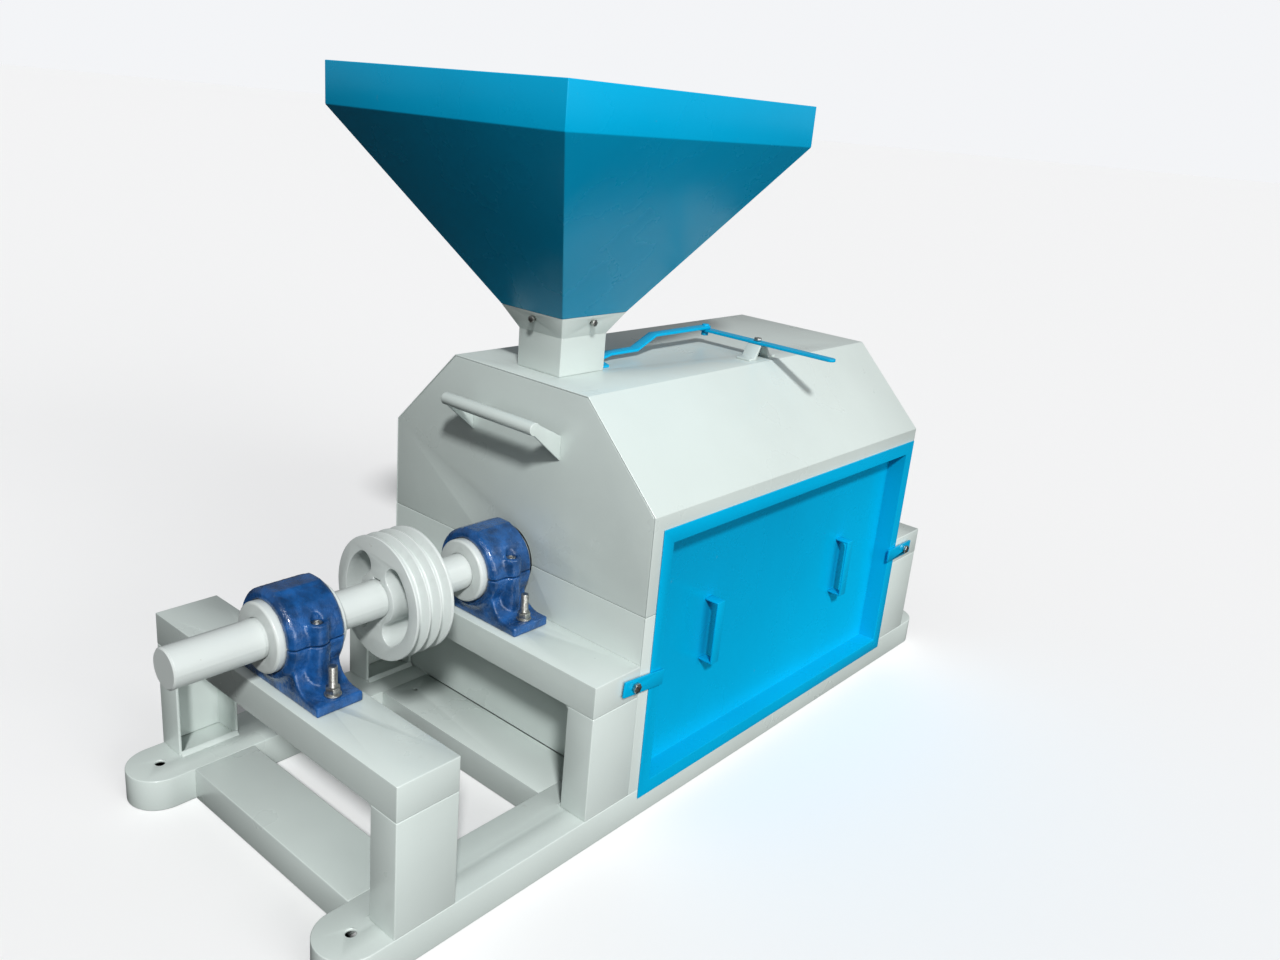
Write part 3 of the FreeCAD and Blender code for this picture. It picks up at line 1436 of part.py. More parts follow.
def chamber_trough():
    """Lower half of the chamber with a window under each screen and the outlet pad."""
    low_flange = TROUGH_TOP - dim.chamber_flange_gauge
    flange = box((-FLANGE_HALF, CHAMBER_FRONT, low_flange), (FLANGE_HALF, CHAMBER_REAR, TROUGH_TOP))
    land = box((-FLANGE_HALF, CHAMBER_FRONT, TROUGH_TOP),
               (-dim.shaft_radius, CHAMBER_REAR, COVER_BOTTOM - dim.seat_gap))
    outlet_pad = box((OUTLET_X, OUTLET_FRONT, OUTLET_LOW), (0, OUTLET_REAR, OUTLET_HIGH))
    below = box((-FLANGE_HALF, CHAMBER_FRONT, AXIS_Z - 2 * CHAMBER_OUT),
                (FLANGE_HALF, CHAMBER_REAR, TROUGH_TOP))
    half = common(fuse(chamber_ring(CHAMBER_OUT), flange, outlet_pad), below)
    inset = dim.screen_length / 20
    windows = [
        sector_bar(dim.window_half_angle, start + inset, dim.screen_length - 2 * inset, CHAMBER_OUT)
        for start in screen_stations()
    ]
    wall = dim.chute_wall
    outlet = box((OUTLET_X - wall, OUTLET_FRONT + wall, OUTLET_LOW + wall),
                 (0, OUTLET_REAR - wall, OUTLET_HIGH - wall))
    sub_part(cut(fuse(half, land), outlet, *windows, *chamber_hollow(),
                 *flange_bolt_bars(dim.seat_gap)), "chamber_trough")


def screens():
    """Two curved sheets with rows of slots that lie in the bottom of the chamber."""
    outer = dim.chamber_radius - dim.screen_play
    inner = outer - dim.screen_gauge
    plates = []
    for start in screen_stations():
        tube = cut(cylinder((0, start, AXIS_Z), outer, dim.screen_length, "Y"),
                   cylinder((0, start - dim.sheet, AXIS_Z), inner, dim.screen_length + 2 * dim.sheet,
                            "Y"))
        plate = common(tube, sector_bar(dim.screen_half_angle, start, dim.screen_length,
                                        dim.chamber_radius))
        plates.append(cut(plate, *screen_slots(start)))
    sub_part(group(*plates), "huller_screens")


def screen_slots(start):
    """Slots along the machine, in rows that fan out over the window."""
    rows = int(dim.slot_rows.value)
    per_row = int(dim.slots_per_row.value)
    fan = 2 * (dim.window_half_angle - 12) / (dim.slot_rows - 1)
    pitch = (dim.screen_length - dim.slot_length) / dim.slots_per_row
    slots = []
    for row in range(rows):
        angle = -dim.window_half_angle + 12 + row * fan
        for index in range(per_row):
            slot = doc.addObject("Part::Box", "slot")
            bind(slot, Length=dim.slot_width, Width=dim.slot_length, Height=2 * dim.screen_gauge)
            radius = dim.chamber_radius + dim.screen_gauge / 2
            half = dim.slot_width / 2
            slot.Placement = FreeCAD.Placement(FreeCAD.Vector(), FreeCAD.Rotation(Y_AXIS, 1))
            bind_angle(slot, angle)
            station = start + pitch / 2 + index * pitch
            spot = (
                -radius * sine(angle) - half * cosine(angle),
                station,
                AXIS_Z - radius * cosine(angle) + half * sine(angle),
            )
            for letter, amount in zip("xyz", spot):
                slot.setExpression(f"Placement.Base.{letter}", amount.text)
            slots.append(slot)
    return slots


def bind_angle(thing, angle):
    """Turns an object about Y by a bound angle."""
    thing.setExpression("Placement.Rotation.Angle", angle.text)


def huller_blade():
    """Flat steel blade between the flanges on the door side, its edge close to the ribs."""
    tip = RIB_TIP + dim.blade_clearance
    wall = dim.chamber_end_wall
    bar = box((tip, CHAMBER_FRONT + wall, TROUGH_TOP),
              (FLANGE_HALF + dim.blade_gauge, CHAMBER_REAR - wall, COVER_BOTTOM - dim.seat_gap))
    slots = [
        box((FLANGE_BOLT_X - 2 * dim.flange_bolt_radius, station - dim.flange_bolt_radius - dim.seat_gap,
             TROUGH_TOP),
            (FLANGE_BOLT_X + 2 * dim.flange_bolt_radius, station + dim.flange_bolt_radius + dim.seat_gap,
             COVER_BOTTOM))
        for station in flange_bolt_stations()
    ]
    sub_part(cut(bar, *slots), "huller_blade")


def chamber_bolts():
    """Bolts that clamp the cover, the blade and the trough together."""
    bolts = []
    across = 3.2 * dim.flange_bolt_radius
    height = 1.4 * dim.flange_bolt_radius
    above = COVER_BOTTOM + dim.chamber_flange_gauge
    below = TROUGH_TOP - dim.chamber_flange_gauge - height
    for bar in flange_bolt_bars(as_size(0)):
        bolts.append(bar)
    spots = [(sign * FLANGE_BOLT_X, station) for sign in (-1, 1) for station in flange_bolt_stations()]
    joined = []
    for bar, (across_x, station) in zip(bolts, spots):
        head = hexagon((across_x, station, above), across, height)
        nut = hexagon((across_x, station, below), across, height)
        joined.append(fuse(bar, head, nut))
    sub_part(group(*joined), "chamber_bolts")


def saddles():
    """Two plates that stand on the rails and carry the trough by its flanges."""
    plates = []
    low = RAIL_TOP
    high = TROUGH_TOP - dim.chamber_flange_gauge
    starts = (CHAMBER_FRONT + dim.saddle_inset,
              CHAMBER_REAR - dim.saddle_inset - dim.saddle_gauge)
    for start in starts:
        plate = box((-dim.saddle_half, start, low), (dim.saddle_half, start + dim.saddle_gauge, high))
        plates.append(cut(plate, chamber_ring(CHAMBER_OUT + dim.seat_gap)))
    sub_part(group(*plates), "chamber_saddles")


def feed_chute():
    """Square duct from the hood's inlet down to the chamber's feed mouth."""
    wall = dim.chute_wall
    low = AXIS_Z + dim.shaft_radius
    high = HOOD_TOP - dim.sheet - dim.seat_gap
    half_x, half_y = dim.inlet_half_x, dim.inlet_half_y
    outside = box((-half_x - wall, NECK_Y - half_y - wall, low),
                  (half_x + wall, NECK_Y + half_y + wall, high))
    inside = box((-half_x, NECK_Y - half_y, low), (half_x, NECK_Y + half_y, high))
    sub_part(cut(outside, inside, chamber_ring(CHAMBER_OUT + dim.seat_gap)), "feed_chute")


OUTLET_X = -(CHAMBER_OUT + dim.outlet_length / 4)
OUTLET_REAR = CHAMBER_REAR - dim.outlet_inset
OUTLET_FRONT = OUTLET_REAR - dim.outlet_length
OUTLET_HIGH = TROUGH_TOP - dim.chamber_flange_gauge - dim.outlet_clearance
OUTLET_LOW = OUTLET_HIGH - dim.outlet_height
OUTLET_END_X = -(LATCH_X + dim.latch_gauge + dim.seat_gap + 1.3 * dim.latch_bolt_radius)
OUTLET_SLOPE = dim.outlet_drop / (OUTLET_X - OUTLET_END_X)


def outlet_fall(across):
    """How far the spout has dropped where it passes a given X."""
    return (OUTLET_X - across) * OUTLET_SLOPE


OUTLET_WALL_LOW = OUTLET_LOW - outlet_fall(-dim.half_width) - dim.seat_gap
OUTLET_WALL_HIGH = OUTLET_HIGH - outlet_fall(-WALL_IN) + dim.seat_gap


def outlet_spout():
    """Sloping duct that takes the hulled rice from the chamber out through the left wall."""
    wall = dim.chute_wall

    def sloped(inset, near_x, far_x, width_inset):
        near_fall, far_fall = outlet_fall(near_x), outlet_fall(far_x)
        outline = [
            (near_x, OUTLET_LOW + inset - near_fall),
            (near_x, OUTLET_HIGH - inset - near_fall),
            (far_x, OUTLET_HIGH - inset - far_fall),
            (far_x, OUTLET_LOW + inset - far_fall),
        ]
        return extrude("XZ", (0, OUTLET_FRONT + width_inset, 0), dim.outlet_length - 2 * width_inset,
                       outline)

    near = OUTLET_X - dim.seat_gap
    outside = sloped(as_size(0), near, OUTLET_END_X, as_size(0))
    inside = sloped(wall, near + wall, OUTLET_END_X - wall, wall)
    sub_part(cut(outside, inside), "outlet_spout")


# ---------------------------------------------------------------------------------------------
# Build, check and write
# ---------------------------------------------------------------------------------------------


def build():
    base_frame()
    casing_end_panel("front", CASING_FRONT, 1)
    casing_end_panel("rear", CASING_REAR, -1)
    side_walls()
    hood()
    hood_handle("front", CASING_FRONT, -1)
    hood_handle("rear", CASING_REAR, 1)
    access_door()
    latch("front")
    latch("rear")
    latch_bolts()
    feed_neck()
    hopper()
    hopper_bolts()
    feed_gate()
    gate_link()
    gate_lever()
    lever_bracket()
    lever_pivot_bolt()
    shaft()
    pulley()
    for name in BEARING_Y:
        bearing(name)
    bearing_fittings()
    huller_cylinder()
    chamber_cover()
    chamber_trough()
    screens()
    huller_blade()
    chamber_bolts()
    saddles()
    feed_chute()
    outlet_spout()
    doc.recompute()


def check():
    """Stops on any failed feature or bad shape before a file is written."""
    faults = [item.Label for item in doc.Objects if {"Invalid", "Error"} & set(item.State)]
    for item in SUB_PARTS:
        if item.Shape.isNull() or not item.Shape.isValid() or not item.Shape.Solids:
            faults.append(item.Label)
    if faults:
        raise RuntimeError("failed: " + ", ".join(faults))


def write():
    os.makedirs("parts", exist_ok=True)
    for item in SUB_PARTS:
        item.Shape.exportStep(f"parts/{item.Label}.step")
        print(f"{item.Label:24s} solids {len(item.Shape.Solids):2d}  volume {item.Shape.Volume:12.1f}")
    print(len(SUB_PARTS), "nodes")


build()
check()
write()
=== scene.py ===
"""Finishes the rice huller: paint, castings, welds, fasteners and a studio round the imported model.

Run as a script.  The sizes and colours are laid out as add-on properties and every group of pieces
is an operator, so each can be changed and run again by itself.
"""

import json
import math

import bmesh
import bpy
from bpy.props import FloatProperty, FloatVectorProperty, PointerProperty
from mathutils import Matrix, Vector

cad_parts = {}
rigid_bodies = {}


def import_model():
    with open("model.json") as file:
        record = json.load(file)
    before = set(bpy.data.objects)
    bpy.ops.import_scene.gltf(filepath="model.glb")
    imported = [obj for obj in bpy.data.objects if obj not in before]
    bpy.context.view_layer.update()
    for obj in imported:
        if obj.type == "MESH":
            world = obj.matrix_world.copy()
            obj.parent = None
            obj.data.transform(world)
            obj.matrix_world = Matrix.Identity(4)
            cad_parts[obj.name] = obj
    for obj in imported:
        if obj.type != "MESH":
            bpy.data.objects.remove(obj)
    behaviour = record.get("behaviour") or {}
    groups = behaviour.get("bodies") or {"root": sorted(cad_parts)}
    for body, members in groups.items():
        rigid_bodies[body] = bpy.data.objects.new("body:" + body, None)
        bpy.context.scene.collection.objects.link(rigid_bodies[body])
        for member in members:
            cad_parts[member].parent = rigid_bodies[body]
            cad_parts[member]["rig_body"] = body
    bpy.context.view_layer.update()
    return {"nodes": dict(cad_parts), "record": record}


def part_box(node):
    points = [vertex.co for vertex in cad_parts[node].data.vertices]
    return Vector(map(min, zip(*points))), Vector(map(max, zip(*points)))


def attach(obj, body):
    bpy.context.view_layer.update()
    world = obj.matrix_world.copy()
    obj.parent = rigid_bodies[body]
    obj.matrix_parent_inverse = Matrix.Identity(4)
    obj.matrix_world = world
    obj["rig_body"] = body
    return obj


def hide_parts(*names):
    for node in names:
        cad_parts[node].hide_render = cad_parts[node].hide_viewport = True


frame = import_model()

bl_info = {
    "name": "Rice Huller Finisher",
    "version": (1, 0, 0),
    "blender": (4, 5, 0),
    "location": "View3D > Sidebar > Huller",
    "description": "Paint, castings, welds, fasteners and studio for a rice huller",
    "category": "Object",
}

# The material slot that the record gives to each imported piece.
SLOT_OF = {item["node"]: item["material_slot"] for item in frame["record"]["subparts"]}

# ------------------------------------------------------------------------------------------------
# Fixed sizes, in metres unless a comment says otherwise
# ------------------------------------------------------------------------------------------------

MERGE_DISTANCE = 0.00002
FASTENER_EDGE = 0.0007
SAND_SIZE = 0.007

# foundation studs, M16, with a nut above the foot and one under the bridge's web
STUD_RADIUS = 0.008
STUD_SIDES = 20
STUD_TIP = 0.8          # share of the radius at the chamfered end
THREAD_ROOT = 0.87      # share of the radius at the bottom of the thread
FOOT_HEIGHT = 0.020
WASHER_RADIUS = 0.015
WASHER_HEIGHT = 0.0028
WASHER_EDGE = 0.0005
WASHER_SIDES = 32
NUT_RADIUS = 0.0135
NUT_HEIGHT = 0.0125
LOWER_NUT_HEIGHT = 0.013
NUT_EDGE = 0.0010
NUT_SIDES = 6
BRIDGE_WALL = 0.006

# welds
WELD_SINK = 0.002       # how far a weld's body reaches into the steel behind it
WELD_END = 0.002        # bare steel left at each end of a weld
WELD_HOLLOW = 0.94      # share of the leg that the hollow face takes
CORNER_REACH = 0.0015
BEAD_SIZE = 0.010
BEAD_STEP = 0.006
BEAD_HEIGHT = 0.0012

# studio: directions point towards the light, spreads are in degrees, brightness runs from 0 to 1
FLOOR_SIZE = 400.0
FLOOR_SHOWN = 0.90
FLOOR_BOUNCE = 0.05
AIR_SHOWN = 0.78
MAIN_LIGHT = (0.575, -0.50, 0.65)
MAIN_SPREAD = 6.0
SIDE_LIGHT = (0.98, -0.06, 0.16)
SIDE_SPREAD = 40.0
SENSOR_WIDTH = 36.0     # millimetres
CAMERA_SHIFT = (0.0010, -0.0041)
CAMERA_REACH = 100.0

# ------------------------------------------------------------------------------------------------
# Properties
# ------------------------------------------------------------------------------------------------


class HullerPaint(bpy.types.PropertyGroup):
    machine: FloatVectorProperty(
        name="Machine enamel", description="Pale grey-green enamel of the frame and cabinet",
        subtype="COLOR", size=3, min=0, max=1, default=(0.575, 0.635, 0.610))
    feed: FloatVectorProperty(
        name="Feed enamel", description="Cyan-blue enamel of the hopper, door and levers",
        subtype="COLOR", size=3, min=0, max=1, default=(0.0, 0.385, 0.64))
    bearing: FloatVectorProperty(
        name="Bearing enamel", description="Cobalt enamel of the bearing castings",
        subtype="COLOR", size=3, min=0, max=1, default=(0.012, 0.075, 0.215))
    shaft: FloatVectorProperty(
        name="Shaft enamel", description="Sprayed white of the shaft and pulley",
        subtype="COLOR", size=3, min=0, max=1, default=(0.57, 0.61, 0.595))


class HullerWork(bpy.types.PropertyGroup):
    steel_edge: FloatProperty(
        name="Steel edge", description="Rounding of the rolled channels' corners",
        subtype="DISTANCE", unit="LENGTH", default=0.0020, min=0)
    sheet_edge: FloatProperty(
        name="Sheet edge", description="Rounding of cut and folded sheet",
        subtype="DISTANCE", unit="LENGTH", default=0.0011, min=0)
    fold: FloatProperty(
        name="Fold radius", description="Rounding of folds, tubes, the pulley and the seal discs",
        subtype="DISTANCE", unit="LENGTH", default=0.0014, min=0)
    weld: FloatProperty(
        name="Weld size", description="Leg of the fillets where the channels meet",
        subtype="DISTANCE", unit="LENGTH", default=0.008, min=0)
    grain: FloatProperty(
        name="Casting grain", description="Height of the sand marks on the bearing castings",
        subtype="DISTANCE", unit="LENGTH", default=0.0010, min=0)
    grid: FloatProperty(
        name="Casting grid", description="Fineness of the casting's surface mesh",
        subtype="DISTANCE", unit="LENGTH", default=0.0024, min=0.001)
    pitch: FloatProperty(
        name="Thread pitch", description="Distance from ridge to ridge of the foundation studs' thread",
        subtype="DISTANCE", unit="LENGTH", default=0.0020, min=0.001)


class HullerStudio(bpy.types.PropertyGroup):
    azimuth: FloatProperty(
        name="Azimuth", description="Direction the camera looks from, turned from the front",
        subtype="ANGLE", default=math.radians(39.06))
    elevation: FloatProperty(
        name="Elevation", description="Angle that the camera looks down by",
        subtype="ANGLE", default=math.radians(18.82))
    roll: FloatProperty(
        name="Roll", description="Tilt of the camera about its own axis",
        subtype="ANGLE", default=math.radians(5.33))
    place: FloatVectorProperty(
        name="Camera place", description="Where the camera stands",
        subtype="TRANSLATION", size=3, default=(1.480, -1.67925, 1.349))
    lens: FloatProperty(
        name="Lens", description="Focal length on a 36 mm wide sensor", default=30.12, min=1)
    key_power: FloatProperty(
        name="Main light", description="Strength of the main light, high in front on the door's side",
        default=2.5, min=0)
    side_power: FloatProperty(
        name="Side light", description="Strength of the broad light from the door's side",
        default=1.4, min=0)
    air: FloatProperty(
        name="Air", description="Strength of the even light from all round", default=0.25, min=0)


# ------------------------------------------------------------------------------------------------
# Materials
# ------------------------------------------------------------------------------------------------


class Nodes:
    """Short-hand for building one procedural material on Object coordinates."""

    def __init__(self, name):
        self.material = bpy.data.materials.new(name)
        self.material.use_nodes = True
        self.tree = self.material.node_tree
        self.tree.nodes.clear()
        self.shader = self.tree.nodes.new("ShaderNodeBsdfPrincipled")
        output = self.tree.nodes.new("ShaderNodeOutputMaterial")
        self.tree.links.new(self.shader.outputs["BSDF"], output.inputs["Surface"])
        self.coordinates = self.tree.nodes.new("ShaderNodeTexCoord").outputs["Object"]

    def link(self, source, node, socket):
        """Joins an output to a node's input."""
        self.tree.links.new(source, node.inputs[socket])

    def noise(self, scale, detail=3.0, roughness=0.5, stretch=None):
        """Even noise, or noise drawn out along an axis by a stretch of its own for each axis."""
        texture = self.tree.nodes.new("ShaderNodeTexNoise")
        texture.inputs["Scale"].default_value = scale
        texture.inputs["Detail"].default_value = detail
        texture.inputs["Roughness"].default_value = roughness
        place = self.coordinates
        if stretch:
            mapping = self.tree.nodes.new("ShaderNodeMapping")
            mapping.inputs["Scale"].default_value = stretch
            self.link(self.coordinates, mapping, "Vector")
            place = mapping.outputs["Vector"]
        self.link(place, texture, "Vector")
        return texture.outputs["Fac"]

    def ramp(self, source, low, high, low_out=0.0, high_out=1.0):
        """Maps low..high to low_out..high_out, held at both ends."""
        node = self.tree.nodes.new("ShaderNodeMapRange")
        node.inputs["From Min"].default_value = low
        node.inputs["From Max"].default_value = high
        node.inputs["To Min"].default_value = low_out
        node.inputs["To Max"].default_value = high_out
        self.link(source, node, "Value")
        return node.outputs["Result"]

    def maths(self, operation, first, second):
        """Adds or multiplies two outputs, or an output and a number."""
        node = self.tree.nodes.new("ShaderNodeMath")
        node.operation = operation
        for socket, value in ((0, first), (1, second)):
            if isinstance(value, (int, float)):
                node.inputs[socket].default_value = value
            else:
                self.link(value, node, socket)
        return node.outputs["Value"]

    def mix(self, factor, first, second):
        """Blends two colours, each a plain colour or an output."""
        node = self.tree.nodes.new("ShaderNodeMix")
        node.data_type = "RGBA"
        self.tree.links.new(factor, node.inputs["Factor"])
        for socket, value in (("A", first), ("B", second)):
            target = [item for item in node.inputs if item.name == socket and item.type == "RGBA"][0]
            if isinstance(value, tuple):
                target.default_value = (*value, 1.0)
            else:
                self.tree.links.new(value, target)
        return [item for item in node.outputs if item.type == "RGBA"][0]

    def bevel(self, radius):
        """A normal that softens sharp edges."""
        node = self.tree.nodes.new("ShaderNodeBevel")
        node.samples = 4
        node.inputs["Radius"].default_value = radius
        return node.outputs["Normal"]

    def bump(self, source, strength, distance, normal):
        """Adds fine height to a normal."""
        node = self.tree.nodes.new("ShaderNodeBump")
        node.inputs["Strength"].default_value = strength
        node.inputs["Distance"].default_value = distance
        self.link(source, node, "Height")
        self.link(normal, node, "Normal")
        return node.outputs["Normal"]

    def finish(self, color, roughness, normal, metallic=0.0, coat=0.0, coat_roughness=0.1, gloss=0.5):
        """Sets the shader's plain values, links the patterned ones and returns the material."""
        shader = self.shader
        shader.inputs["Specular IOR Level"].default_value = gloss
        shader.inputs["Metallic"].default_value = metallic
        shader.inputs["Coat Weight"].default_value = coat
        shader.inputs["Coat Roughness"].default_value = coat_roughness
        for name, value in (("Base Color", color), ("Roughness", roughness), ("Normal", normal)):
            if isinstance(value, (int, float)):
                shader.inputs[name].default_value = value
            else:
                self.link(value, shader, name)
        return self.material


def shade(color, factor):
    """The colour made darker or lighter, and no brighter than 1."""
    return tuple(min(1.0, channel * factor) for channel in color)


def enamel(name, color, grime=(0.30, 0.27, 0.22), grime_amount=0.25, rough_level=0.3, edge=0.0012,
           coat=0.25, gloss=0.5):
    """Sprayed gloss enamel: slow mottling, orange peel, a few grimy specks and softened edges."""
    n = Nodes(name)
    broad = n.ramp(n.noise(2.3, 4.0), 0.35, 0.65)
    toned = n.mix(broad, shade(color, 0.955), shade(color, 1.03))
    specks = n.ramp(n.noise(38.0, 6.0, 0.62), 0.70, 0.78)
    dirty = n.mix(n.maths("MULTIPLY", specks, grime_amount), toned, grime)
    rough = n.ramp(n.noise(7.0, 5.0), 0.3, 0.7, rough_level - 0.05, rough_level + 0.09)
    peel = n.maths("ADD", n.maths("MULTIPLY", n.noise(420.0, 2.0), 0.35), n.noise(24.0, 3.0))
    normal = n.bump(peel, 0.16, 0.0012, n.bevel(edge))
    return n.finish(dirty, rough, normal, coat=coat, coat_roughness=0.12, gloss=gloss)


def cast_enamel(name, color):
    """Thick gloss enamel that lies thick and thin over a rough sand casting."""
    n = Nodes(name)
    broad = n.ramp(n.noise(34.0, 5.0), 0.35, 0.68)
    toned = n.mix(broad, shade(color, 0.62), shade(color, 1.45))
    sand = n.maths("ADD", n.noise(160.0, 5.0, 0.65), n.maths("MULTIPLY", n.noise(46.0, 3.0), 1.4))
    rough = n.ramp(n.noise(60.0, 4.0), 0.35, 0.7, 0.16, 0.34)
    normal = n.bump(sand, 0.55, 0.0030, n.bevel(0.003))
    return n.finish(toned, rough, normal, coat=0.6, coat_roughness=0.08)


def zinc(name):
    """Plated fasteners: dull grey with blotches."""
    n = Nodes(name)
    blotch = n.ramp(n.noise(240.0, 4.0), 0.35, 0.7)
    color = n.mix(blotch, (0.36, 0.36, 0.34), (0.60, 0.60, 0.57))
    rough = n.ramp(n.noise(130.0, 4.0), 0.3, 0.7, 0.28, 0.5)
    return n.finish(color, rough, n.bump(n.noise(520.0, 3.0), 0.2, 0.0004, n.bevel(0.0006)), metallic=1.0)


def worn_iron(name):
    """Bare grey casting with lighter and darker blotches."""
    n = Nodes(name)
    blotch = n.ramp(n.noise(55.0, 5.0), 0.35, 0.7)
    color = n.mix(blotch, (0.14, 0.135, 0.13), (0.30, 0.29, 0.28))
    return n.finish(color, n.ramp(n.noise(80.0, 4.0), 0.3, 0.7, 0.3, 0.6),
                    n.bump(n.noise(300.0, 4.0), 0.4, 0.0010, n.bevel(0.001)), metallic=0.9)


def ground_steel(name):
    """Ground steel with fine marks."""
    n = Nodes(name)
    marks = n.noise(900.0, 2.0, 0.5, (1.0, 0.04, 1.0))
    color = n.mix(n.ramp(marks, 0.3, 0.7), (0.44, 0.44, 0.44), (0.60, 0.60, 0.60))
    return n.finish(color, 0.32, n.bump(marks, 0.1, 0.0003, n.bevel(0.0006)), metallic=1.0)


def dress(nodes, material):
    """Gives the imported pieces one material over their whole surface."""
    for name in nodes:
        piece = frame["nodes"][name]
        piece.data.materials.clear()
        piece.data.materials.append(material)


def nodes_with_slot(*slots):
    """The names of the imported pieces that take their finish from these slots."""
    return [item["node"] for item in frame["record"]["subparts"] if item["material_slot"] in slots]


# ------------------------------------------------------------------------------------------------
# Shaping helpers
# ------------------------------------------------------------------------------------------------


def solo(piece):
    """Makes one object the only one selected, and the active one."""
    bpy.ops.object.select_all(action="DESELECT")
    piece.select_set(True)
    bpy.context.view_layer.objects.active = piece


def apply(piece, kind, **settings):
    """Adds one modifier with its settings and applies it."""
    solo(piece)
    bpy.ops.object.modifier_add(type=kind)
    modifier = piece.modifiers[-1]
    for name, value in settings.items():
        setattr(modifier, name, value)
    bpy.ops.object.modifier_apply(modifier=modifier.name)


def packed_copy(node, name, flat=True):
    """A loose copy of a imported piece, with its doubles merged and, if flat, its flat faces joined."""
    piece = bpy.data.objects.new(name, frame["nodes"][node].data.copy())
    bpy.context.scene.collection.objects.link(piece)
    solo(piece)
    bpy.ops.object.mode_set(mode="EDIT")
    bpy.ops.mesh.select_all(action="SELECT")
    bpy.ops.mesh.remove_doubles(threshold=MERGE_DISTANCE)
    if flat:
        bpy.ops.mesh.dissolve_limited(angle_limit=math.radians(0.6))
    bpy.ops.object.mode_set(mode="OBJECT")
    return piece


def settle(piece, node, material, smooth=35.0, replaced=True):
    """Shades a finished piece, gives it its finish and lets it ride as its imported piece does."""
    solo(piece)
    bpy.ops.object.shade_smooth_by_angle(angle=math.radians(smooth))
    piece.data.materials.clear()
    piece.data.materials.append(material)
    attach(piece, frame["nodes"][node]["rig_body"])
    if replaced:
        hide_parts(node)


def round_edges(node, width, segments=3, sharp=28.0):
    """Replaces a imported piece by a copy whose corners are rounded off."""
    piece = packed_copy(node, node + "_rounded")
    apply(piece, "BEVEL", width=width, segments=segments, limit_method="ANGLE",
          angle_limit=math.radians(sharp), use_clamp_overlap=False, harden_normals=False)
    settle(piece, node, frame["nodes"][node].data.materials[0])


def grown_texture(name, size):
    """Clouds that push a surface in and out."""
    clouds = bpy.data.textures.new(name, "CLOUDS")
    clouds.noise_scale = size
    clouds.noise_depth = 3
    return clouds


# ------------------------------------------------------------------------------------------------
# Operators
# ------------------------------------------------------------------------------------------------


class HULLER_OT_paint(bpy.types.Operator):
    """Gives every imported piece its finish"""

    bl_idname = "huller.paint"
    bl_label = "Paint the machine"

    def execute(self, context):
        paint = context.scene.huller_paint
        dress(nodes_with_slot("frame_paint"), enamel("machine_enamel", tuple(paint.machine)))
        dress(nodes_with_slot("shaft_paint", "seal_white"),
              enamel("shaft_enamel", tuple(paint.shaft), grime_amount=0.6, rough_level=0.34))
        dress(nodes_with_slot("feed_paint"),
              enamel("feed_enamel", tuple(paint.feed), rough_level=0.24, coat=0.0, gloss=0.3))
        dress(nodes_with_slot("bearing_paint"), cast_enamel("bearing_enamel", tuple(paint.bearing)))
        dress(nodes_with_slot("zinc"), zinc("zinc_plate"))
        dress(nodes_with_slot("rotor_iron"), worn_iron("worn_iron"))
        dress(nodes_with_slot("bright_steel"), ground_steel("ground_steel"))
        return {"FINISHED"}


class HULLER_OT_steelwork(bpy.types.Operator):
    """Rounds the corners of the channels, rails and posts"""

    bl_idname = "huller.steelwork"
    bl_label = "Round the steelwork"

    def execute(self, context):
        width = context.scene.huller_work.steel_edge
        for node in SLOT_OF:
            if node.startswith(("base_rail", "cross_channel", "bridge", "post")):
                round_edges(node, width)
        return {"FINISHED"}


class HULLER_OT_sheetwork(bpy.types.Operator):
    """Rounds the cabinet, door, hopper, chutes, handles, levers, pulley and seals"""

    bl_idname = "huller.sheetwork"
    bl_label = "Round the sheetwork"

    def execute(self, context):
        work = context.scene.huller_work
        for node in SLOT_OF:
            if node.startswith(("casing", "hood_front_panel", "hood_rear_panel", "access_door", "feed_chute",
                                "outlet", "lever_bracket", "door_handles", "gate_l", "latch_f", "latch_r")):
                round_edges(node, work.sheet_edge)
            elif node in ("hood_shell", "hopper", "feed_neck", "hood_handle_front", "hood_handle_rear",
                          "pulley", "bearing_seals", "chamber_saddles"):
                round_edges(node, work.fold)
        return {"FINISHED"}


class HULLER_OT_castings(bpy.types.Operator):
    """Turns the bearing housings into soft-edged sand castings"""

    bl_idname = "huller.castings"
    bl_label = "Cast the bearing housings"

    def execute(self, context):
        work = context.scene.huller_work
        sand = grown_texture("casting_sand", SAND_SIZE)
        for node in nodes_with_slot("bearing_paint"):
            piece = packed_copy(node, node + "_casting", flat=False)
            apply(piece, "REMESH", mode="VOXEL", voxel_size=work.grid, adaptivity=0.0)
            apply(piece, "SMOOTH", factor=0.5, iterations=9)
            apply(piece, "DISPLACE", texture=sand, texture_coords="LOCAL", strength=work.grain,
                  mid_level=0.75)
            settle(piece, node, frame["nodes"][node].data.materials[0], smooth=80.0)
        return {"FINISHED"}


